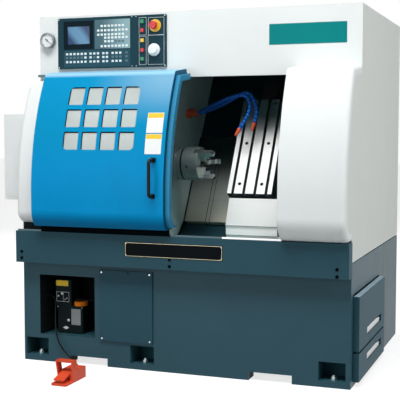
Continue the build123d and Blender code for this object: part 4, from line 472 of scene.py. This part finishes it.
def add_box(bm, x0, x1, y0, y1, z0, z1, bevel=0.0, segments=2):
    """A bevelled box in millimetres."""
    made = bmesh.ops.create_cube(bm, size=1)
    verts = made["verts"]
    size = Vector((x1 - x0, y1 - y0, z1 - z0)) * MM
    centre = Vector((x0 + x1, y0 + y1, z0 + z1)) * MM / 2
    for v in verts:
        v.co = Vector((v.co.x * size.x, v.co.y * size.y, v.co.z * size.z)) + centre
    if bevel:
        edges = {e for v in verts for e in v.link_edges}
        bmesh.ops.bevel(bm, geom=list(edges), offset=bevel * MM, segments=segments, profile=0.5,
                        affect="EDGES", clamp_overlap=True)


def add_turned(bm, profile, centre, steps=48):
    """A shape turned about Y: profile is (radius, position along Y) in millimetres."""
    rings = []
    for radius, along in profile:
        ring = []
        for i in range(steps):
            a = 2 * math.pi * i / steps
            u, w = radius * math.cos(a), radius * math.sin(a)
            ring.append(bm.verts.new(Vector((centre[0] + u, centre[1] + along, centre[2] + w)) * MM))
        rings.append(ring)
    for a, b in zip(rings, rings[1:]):
        for i in range(steps):
            j = (i + 1) % steps
            bm.faces.new((a[i], a[j], b[j], b[i]))
    bm.faces.new(rings[0])
    bm.faces.new(list(reversed(rings[-1])))


def smooth(obj, angle=35):
    for poly in obj.data.polygons:
        poly.use_smooth = True
    mod = obj.modifiers.new("edges", "EDGE_SPLIT")
    mod.split_angle = math.radians(angle)
    return obj


def piece(name, material, body, build, round_angle=None):
    bm = bmesh.new()
    build(bm)
    obj = link(name, to_mesh(name, bm), material, body)
    if round_angle:
        smooth(obj, round_angle)
    return obj


# Cable of the foot pedal, through the same points as its solid
CABLE = [(-737, -572, 326), (-714, -572, 326), (-694, -580, 306), (-684, -600, 262),
         (-672, -624, 212), (-656, -649, 168), (-642, -662, 130), (-622, -664, 88),
         (-588, -664, 50), (-548, -668, 22), (-518, -684, 7), (-500, -712, 4.5),
         (-488, -744, 4.5), (-466, -776, 6), (-440, -798, 16), (-434, -822, 24), (-434, -843, 24)]


def pedal_cable():
    data = bpy.data.curves.new("cable_line", "CURVE")
    data.dimensions = "3D"
    data.bevel_depth = 0.004
    data.bevel_resolution = 6
    data.resolution_u = 12
    data.use_fill_caps = True
    spline = data.splines.new("NURBS")
    spline.points.add(len(CABLE) - 1)
    for point, at in zip(spline.points, CABLE):
        point.co = (at[0] * MM, at[1] * MM, at[2] * MM, 1)
    spline.order_u = 3
    spline.use_endpoint_u = True
    cable = bpy.data.objects.new("cable_line", data)
    bpy.context.scene.collection.objects.link(cable)
    data.materials.append(M["cable"])
    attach(cable, "machine")
    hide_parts("pedal_cable")


# Coolant hoses: the same points as their solids, the last one where the nozzle starts
HOSE_1 = [(-92, -111, 1256), (-60, -125, 1272), (20, -170, 1300), (105, -225, 1326), (185, -270, 1343),
          (235, -300, 1335), (258, -318, 1297), (256, -328, 1258), (240, -336, 1218), (214, -341, 1176)]
HOSE_2 = [(-92, -83, 1256), (-55, -95, 1268), (30, -140, 1292), (110, -195, 1318), (180, -245, 1345),
          (232, -275, 1352), (266, -288, 1324), (284, -292, 1276), (284, -295, 1240), (275, -297, 1206)]


def curve_through(points, step):
    """Points about one step apart on a smooth curve through the given points."""
    pts = [Vector(p) for p in points]
    pts = [2 * pts[0] - pts[1]] + pts + [2 * pts[-1] - pts[-2]]
    dense = []
    for i in range(1, len(pts) - 2):
        a, b, c, d = pts[i - 1:i + 3]
        for k in range(40):
            t = k / 40
            dense.append(0.5 * (2 * b + (c - a) * t + (2 * a - 5 * b + 4 * c - d) * t * t
                                + (3 * b - 3 * c + d - a) * t * t * t))
    dense.append(pts[-2])
    out = [dense[0]]
    run = 0.0
    for before, here in zip(dense, dense[1:]):
        run += (here - before).length
        if run >= step:
            out.append(here)
            run = 0.0
    return out


def sweep_rings(bm, path, radii, sides=14):
    """A tube of changing radius along a path, closed at both ends."""
    side = Vector((0, 0, 1))
    rings = []
    for i, (at, radius) in enumerate(zip(path, radii)):
        ahead = path[min(i + 1, len(path) - 1)] - path[max(i - 1, 0)]
        ahead.normalize()
        side = (side - ahead * side.dot(ahead)).normalized()
        other = ahead.cross(side)
        ring = []
        for k in range(sides):
            a = 2 * math.pi * k / sides
            ring.append(bm.verts.new((at + (side * math.cos(a) + other * math.sin(a)) * radius) * MM))
        rings.append(ring)
    for a, b in zip(rings, rings[1:]):
        for k in range(sides):
            j = (k + 1) % sides
            bm.faces.new((a[k], a[j], b[j], b[k]))
    bm.faces.new(rings[0])
    bm.faces.new(list(reversed(rings[-1])))


def hoses():
    """Ball-jointed hoses, each a row of beads, with their nozzles."""
    for index, points in enumerate((HOSE_1, HOSE_2)):
        path = curve_through(points, 2.1)

        def beads(bm):
            radii = [5.0 + 5.8 * abs(math.sin(math.pi * i / 8)) ** 0.7 for i in range(len(path))]
            sweep_rings(bm, path, radii)
        row = piece("hose_%d" % (index + 1), M["blue_bead"], "machine", beads, 60)

        def nozzle(bm):
            ahead = (path[-1] - path[-4]).normalized()
            stops = [(0, 10), (1, 10.6), (9, 10.6), (10, 9.4), (24, 8.4), (34, 6.4), (41, 5.6), (42, 5.0)]
            sweep_rings(bm, [path[-1] + ahead * d for d, _ in stops], [r for _, r in stops], 20)
        tip = piece("nozzle_%d" % (index + 1), M["orange"], "machine", nozzle, 40)
        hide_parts("coolant_hoses")
        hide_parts("coolant_hoses")


def add_prism(bm, corners, normal, thick):
    """A flat plate from its corners in millimetres, thickened along the normal."""
    low = [bm.verts.new(Vector(c) * MM) for c in corners]
    high = [bm.verts.new((Vector(c) + Vector(normal) * thick) * MM) for c in corners]
    bm.faces.new(low)
    bm.faces.new(list(reversed(high)))
    for i in range(len(low)):
        j = (i + 1) % len(low)
        bm.faces.new((low[i], high[i], high[j], low[j]))


def oil_pump_plates():
    """Bare label, dial frame and knobs on the front of the oil pump."""
    def label(bm):
        add_box(bm, -703, -634, -556.2, -555.2, 374, 402, 0.4)
    piece("pump_label", M["label_yellow"], "machine", label)

    def whites(bm):
        for x0, x1, z0, z1 in ((-702, -630, 341.5, 343), (-702, -630, 293, 294.5), (-702, -700.5, 293, 343),
                               (-631.5, -630, 293, 343), (-664, -663, 294, 341)):
            add_box(bm, x0, x1, -555.8, -555.2, z0, z1, 0.1, 1)
        for x, z, r in ((-668, 335, 6.5), (-690, 322, 4.5), (-642, 312, 3), (-652, 305, 2.5)):
            add_turned(bm, [(0.2, -6), (r - 1, -5.6), (r, -4.5), (r, 0)], (x, PUMP_PANEL_Y, z), steps=24)
        add_turned(bm, [(0.2, -5), (6, -4.5), (7, -3), (7, 0)], (-634, PUMP_TANK_Y, 199), steps=24)
        for x in (-695, -557):
            add_turned(bm, [(0.2, -1.6), (2.2, -1.2), (2.8, 0)], (x, PUMP_PANEL_Y, 266), steps=16)
    piece("pump_fittings", M["white"], "machine", whites, 35)

    def plate(bm):
        add_box(bm, -619, -566, -554, -553.2, 176, 258, 0.4)
    piece("pump_plate", M["plate_grey"], "machine", plate)

    def sight(bm):
        add_prism(bm, [(-668, -553.4, 159), (-650, -553.4, 168), (-632, -553.4, 159), (-650, -553.4, 150)],
                  (0, -1, 0), 0.6)
    piece("pump_sight", M["white"], "machine", sight)


def drawer_scoops():
    """Bright bent plates inside the hand slots of the two drawers; their white is a painted reflection."""
    for name, z, body in (("scoop_upper", 206, "chip_drawer"), ("scoop_lower", 82, "coolant_tank")):
        def plate(bm):
            corners = [(863, -406, z + 1), (863, -60, z + 1), (863, -45, z + 19), (863, -120, z + 27),
                       (863, -406, z + 35)]
            add_prism(bm, corners, (1, 0, 0), 1)
        piece(name, M["white"], body, plate)


def base_details():
    """Painted highlight along the drawer's top edge, fork slot side walls near black as painted shade, and
    the access panel's oval latch.

    The latch lies behind the panel's front sheet, so it isn't seen."""
    def edge(bm):
        add_box(bm, 843, 869.5, -599, 67, DRAWER_TOP, DRAWER_TOP + 0.6, 0.1, 1)
    piece("drawer_painted_highlight", M["painted_highlight_edge"], "chip_drawer", edge)

    # Painted shade: the side walls of the fork slots are near black
    def walls(bm):
        for x in FORK_WALLS:
            add_box(bm, x, x + 2, -640, -560, 1, 44)
    piece("fork_walls", M["bezel"], "machine", walls)

    def latch(bm):
        rings = []
        for scale, y in ((0.72, -651.6), (1.0, -650.6), (1.0, -646)):
            ring = []
            for i in range(32):
                a = 2 * math.pi * i / 32
                at = Vector((LATCH[0] + LATCH_SIZE[0] * scale * math.cos(a), y,
                             LATCH[1] + LATCH_SIZE[1] * scale * math.sin(a)))
                ring.append(bm.verts.new(at * MM))
            rings.append(ring)
        for a, b in zip(rings, rings[1:]):
            for i in range(32):
                j = (i + 1) % 32
                bm.faces.new((a[i], a[j], b[j], b[i]))
        bm.faces.new(rings[0])
        bm.faces.new(list(reversed(rings[-1])))
    piece("access_latch", M["white"], "machine", latch, 30)


def window_painted_shadows():
    """Painted shadow: dark strips at the top and left of each window, lying on the pane."""
    def rubber_and_shadow(bm):
        for col in range(4):
            for row in range(3):
                x = WINDOW_MIDDLE[0] + (col - 1.5) * WINDOW_PITCH[0]
                z = WINDOW_MIDDLE[1] + (row - 1) * WINDOW_PITCH[1]
                strip(bm, x - 40, x - 35, z - 43, z + 43, 0.4, 8, 2.4)
                strip(bm, x - 35, x + 40, z + 37, z + 43, 0.4, 2, 2.4)
    piece("window_painted_shadows", M["plate_black"], "door", rubber_and_shadow, 40)


def panel_plates():
    def teal(bm):
        add_box(bm, 396, 769, HEADER_Y - 1.5, HEADER_Y, 1572, 1669, 0.7)
    piece("header_plate", M["teal"], "machine", teal)

    def black(bm):
        add_box(bm, -243, 253, LEDGE_Y - 1.6, LEDGE_Y, 565, 635, 0.6)
    piece("ledge_plate", M["plate_black"], "machine", black)

    def rim(bm):
        for x0, x1, z0, z1 in ((-240, 250, 631, 632.6), (-240, 250, 567.4, 569), (-240, -238.4, 567.4, 632.6),
                               (248.4, 250, 567.4, 632.6)):
            add_box(bm, x0, x1, LEDGE_Y - 2.1, LEDGE_Y - 1, z0, z1, 0.2, 1)
        for x in (-236, 246):
            for z in (573, 627):
                head = [(0.1, -2.4), (1.6, -2.2), (2.4, -1.2), (2.4, 0)]
                add_turned(bm, head, (x, LEDGE_Y - 1, z), steps=16)
    piece("ledge_plate_rim", M["brass"], "machine", rim)

    def door_plate(bm):
        strip(bm, -114, -32, 1156, 1250, 0.6)
        strip(bm, -114, -32, 1057, 1151, 0.6)
    piece("door_plate", M["white"], "door", door_plate, 40)

    def bands(bm):
        strip(bm, -112, -34, 1226, 1248, 1.0)
        strip(bm, -112, -34, 1128, 1149, 1.0)
    piece("door_plate_bands", M["label_yellow"], "door", bands, 40)


def sweep_y(z, inset=0.0):
    """Depth of the door's outer skin at a height, in millimetres."""
    if z < 850:
        return -783 + inset
    r = 1224 - inset
    return 441 - math.sqrt(r * r - (z - 850) ** 2)


def strip(bm, x0, x1, z0, z1, thick, rows=14, sunk=0.0):
    """A thin plate that follows the door's curve."""
    grid = []
    for layer in (0.0, thick):
        for i in range(rows + 1):
            z = z0 + (z1 - z0) * i / rows
            y = sweep_y(z, sunk) - layer
            grid.append([bm.verts.new(Vector((x, y, z)) * MM) for x in (x0, x1)])
    n = rows + 1
    for i in range(rows):
        bm.faces.new((grid[i][0], grid[i + 1][0], grid[i + 1][1], grid[i][1]))
        bm.faces.new((grid[n + i][0], grid[n + i][1], grid[n + i + 1][1], grid[n + i + 1][0]))
        for s in (0, 1):
            bm.faces.new((grid[i][s], grid[n + i][s], grid[n + i + 1][s], grid[i + 1][s]))
    bm.faces.new((grid[0][0], grid[0][1], grid[n][1], grid[n][0]))
    bm.faces.new((grid[n - 1][0], grid[2 * n - 1][0], grid[2 * n - 1][1], grid[n - 1][1]))


# Console: key layout as (row height, first place, how many, dark keys)
KEY_PITCH = 19.6
UPPER_KEYS = [(1692, 1, 7), (1670, 0, 9), (1649, 0, 8), (1633, 2, 7), (1615, 2, 3), (1591, 1, 8)]
UPPER_DARK = [(1615, 5, 3)]
LOWER_XS = [[-676, -655, -634, -613, -592, -571], [-542, -521, -500], [-470, -450], [-418, -397, -376]]


def console():
    def pad(bm):
        add_box(bm, -518, -322, CONSOLE_Y, CONSOLE_Y + 1, 1578, 1724, 0.3)
    upper = piece("keypad_upper", M["pad"], "machine", pad)

    def bezel(bm):
        x0, x1, z0, z1 = -696, -524, 1579, 1722
        for box in ((x0, -672, z0, z1), (-548, x1, z0, z1), (-672, -548, 1695, z1), (-672, -548, z0, 1606)):
            add_box(bm, box[0], box[1], CONSOLE_Y + 0.4, CONSOLE_Y + 1.9, box[2], box[3], 0.3, 1)
    piece("screen_bezel", M["bezel"], "machine", bezel)

    def lower(bm):
        add_box(bm, -695, -322, CONSOLE_Y, CONSOLE_Y + 1, 1490, 1572, 0.3)
    low = piece("keypad_lower", M["pad_dark"], "machine", lower)

    def keys(bm):
        for z, first, count in UPPER_KEYS:
            for i in range(first, first + count):
                key(bm, -498 + i * KEY_PITCH, z)
        for row, z in enumerate((1556, 1537, 1516)):
            for group, xs in enumerate(LOWER_XS):
                for i, x in enumerate(xs):
                    if row == 1 and (group == 3 or (group == 0 and i < 5) or (group == 1 and i == 1)):
                        continue
                    key(bm, x, z)
    pale = piece("keys_light", M["key"], "machine", keys, 30)

    def dark(bm):
        for z, first, count in UPPER_DARK:
            for i in range(first, first + count):
                key(bm, -498 + i * KEY_PITCH, z)
        for i, x in enumerate(LOWER_XS[0][:5] + [LOWER_XS[1][1]] + LOWER_XS[3]):
            key(bm, x, 1537)
        for z in (1556, 1537, 1516):
            key(bm, -342, z)
    piece("keys_dark", M["key_dark"], "machine", dark, 30)
    for obj in (upper, low, pale):
        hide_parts("console_keys")

    def lines(bm):
        for x0, x1, z0, z1 in ((-273, -233, 1639, 1726), (-273, -234, 1493, 1634), (-223, -138, 1638, 1724),
                               (-225, -138, 1493, 1637)):
            for box in ((x0, x1, z1 - 1.2, z1), (x0, x1, z0, z0 + 1.2),
                        (x0, x0 + 1.2, z0, z1), (x1 - 1.2, x1, z0, z1)):
                add_box(bm, box[0], box[1], CONSOLE_Y - 0.4, CONSOLE_Y + 0.1, box[2], box[3], 0.1, 1)
        for x in (-722, -134):
            for z in (1488, 1732):
                add_turned(bm, [(0.2, -1.8), (2.6, -1.4), (3.4, 0)], (x, CONSOLE_Y, z), steps=16)
        for x in (-312, -289):
            for z in (1488, 1732):
                add_turned(bm, [(0.2, -1.4), (1.8, -1.1), (2.4, 0)], (x, CONSOLE_Y, z), steps=16)
    piece("console_trim", M["white"], "machine", lines, 30)

    def ring(bm):
        add_turned(bm, [(21.5, -4.5), (30, -4.5), (31, -3.2), (31, 0)], (ESTOP[0], CONSOLE_Y, ESTOP[1]))
    piece("estop_ring", M["yellow"], "machine", ring, 30)

    def mark(bm):
        add_box(bm, -191.6, -188.4, CONSOLE_Y - 29, CONSOLE_Y - 27.5, 1569, 1584, 0.3, 1)
    piece("knob_mark", M["handle"], "selector", mark)


def key(bm, x, z):
    add_box(bm, x - 6.5, x + 6.5, CONSOLE_Y - 1.5, CONSOLE_Y + 0.3, z - 5.5, z + 5.5, 0.9, 1)


def gauge():
    cx, cz = GAUGE
    front = HEADER_Y - GAUGE_DEPTH

    def dial(bm):
        add_turned(bm, [(0.5, 7.2), (33.6, 7.2), (33.6, 8)], (cx, front, cz))
    piece("gauge_dial", M["white"], "machine", dial, 30)

    def ticks(bm):
        for i in range(DIAL_TICKS + 1):
            a = math.radians(DIAL_START - DIAL_SPAN * i / DIAL_TICKS)
            long = i % 8 == 0
            r0 = 25 if long else 28
            w = 0.9 if long else 0.4
            m = Matrix.Translation(Vector((cx, front + 6.9, cz)) * MM) @ Matrix.Rotation(-a, 4, "Y")
            made = bmesh.ops.create_cube(bm, size=1)
            for v in made["verts"]:
                p = Vector(((v.co.x + 0.5) * (31 - r0) + r0, v.co.y * 0.4, v.co.z * 2 * w)) * MM
                v.co = m @ p
    piece("gauge_ticks", M["plate_black"], "machine", ticks)

    def lens(bm):
        add_turned(bm, [(0.5, 1.2), (25, 1.4), (33.8, 2.2), (33.8, 3)], (cx, front, cz))
    piece("gauge_lens", M["lens"], "machine", lens, 60)


def stage():
    mesh = bpy.data.meshes.new("floor")
    bm = bmesh.new()
    bmesh.ops.create_grid(bm, x_segments=1, y_segments=1, size=30)
    bm.to_mesh(mesh)
    bm.free()
    floor = bpy.data.objects.new("floor", mesh)
    bpy.context.scene.collection.objects.link(floor)
    mat, tree, bsdf = new_material("floor_pale")
    bsdf.inputs["Roughness"].default_value = 0.9
    tex = noise(tree, 2, 3)
    tone = ramp(tree, tex.outputs["Fac"], [(0.3, (0.40, 0.40, 0.40, 1)), (0.7, (0.42, 0.42, 0.42, 1))])
    tree.links.new(tone.outputs["Color"], bsdf.inputs["Base Color"])
    path = tree.nodes.new("ShaderNodeLightPath")
    seen = tree.nodes.new("ShaderNodeAddShader")
    mixes = []
    for strength in (0.74, 0.95):
        white = tree.nodes.new("ShaderNodeEmission")
        white.inputs["Strength"].default_value = strength
        mixes.append((white, tree.nodes.new("ShaderNodeMixShader")))
    (glow, first), (mirror, second) = mixes
    tree.links.new(bsdf.outputs[0], seen.inputs[0])
    tree.links.new(glow.outputs[0], seen.inputs[1])
    tree.links.new(path.outputs["Is Glossy Ray"], second.inputs[0])
    tree.links.new(bsdf.outputs[0], second.inputs[1])
    tree.links.new(mirror.outputs[0], second.inputs[2])
    tree.links.new(path.outputs["Is Camera Ray"], first.inputs[0])
    tree.links.new(second.outputs[0], first.inputs[1])
    tree.links.new(seen.outputs[0], first.inputs[2])
    tree.links.new(first.outputs[0], tree.nodes["Material Output"].inputs["Surface"])
    mesh.materials.append(mat)


def lamp(name, at, look, size, power):
    data = bpy.data.lights.new(name, "AREA")
    data.shape = "RECTANGLE"
    data.size = size[0]
    data.size_y = size[1]
    data.energy = power
    obj = bpy.data.objects.new(name, data)
    bpy.context.scene.collection.objects.link(obj)
    obj.location = at
    obj.rotation_euler = (Vector(look) - Vector(at)).to_track_quat("-Z", "Y").to_euler()


def light():
    world = bpy.data.worlds.new("studio")
    bpy.context.scene.world = world
    world.use_nodes = True
    tree = world.node_tree
    back = tree.nodes["Background"]
    back.inputs["Color"].default_value = (0.92, 0.97, 1.0, 1)
    back.inputs["Strength"].default_value = 0.16
    seen = tree.nodes.new("ShaderNodeBackground")
    seen.inputs["Color"].default_value = (1, 1, 1, 1)
    seen.inputs["Strength"].default_value = 1.0
    path = tree.nodes.new("ShaderNodeLightPath")
    rays = path.outputs["Is Camera Ray"]
    for kind in ("Is Glossy Ray", "Is Transmission Ray"):
        rays = sum_of(tree, "MAXIMUM", rays, path.outputs[kind])
    mix = tree.nodes.new("ShaderNodeMixShader")
    tree.links.new(rays, mix.inputs[0])
    tree.links.new(back.outputs[0], mix.inputs[1])
    tree.links.new(seen.outputs[0], mix.inputs[2])
    tree.links.new(mix.outputs[0], tree.nodes["World Output"].inputs["Surface"])
    lamp("key", (0.2, -2.9, 5.1), (0.1, -0.4, 1.0), (3.4, 1.8), 226)
    lamp("right", (5.2, -1.0, 2.2), (0.8, -0.1, 0.9), (2.4, 2.4), 92)
    lamp("front", (-1.9, -5.4, 1.5), (-0.1, -0.4, 0.9), (2.4, 2.0), 48)
    lamp("rear", (-2.6, 4.6, 3.2), (0, 0.5, 1.0), (2.6, 2.0), 110)


bpy.context.scene.view_settings.view_transform = "Standard"
camera()
make_materials()
pedal_cable()
dress_nodes()
hoses()
oil_pump_plates()
drawer_scoops()
base_details()
window_painted_shadows()
panel_plates()
console()
gauge()
stage()
light()
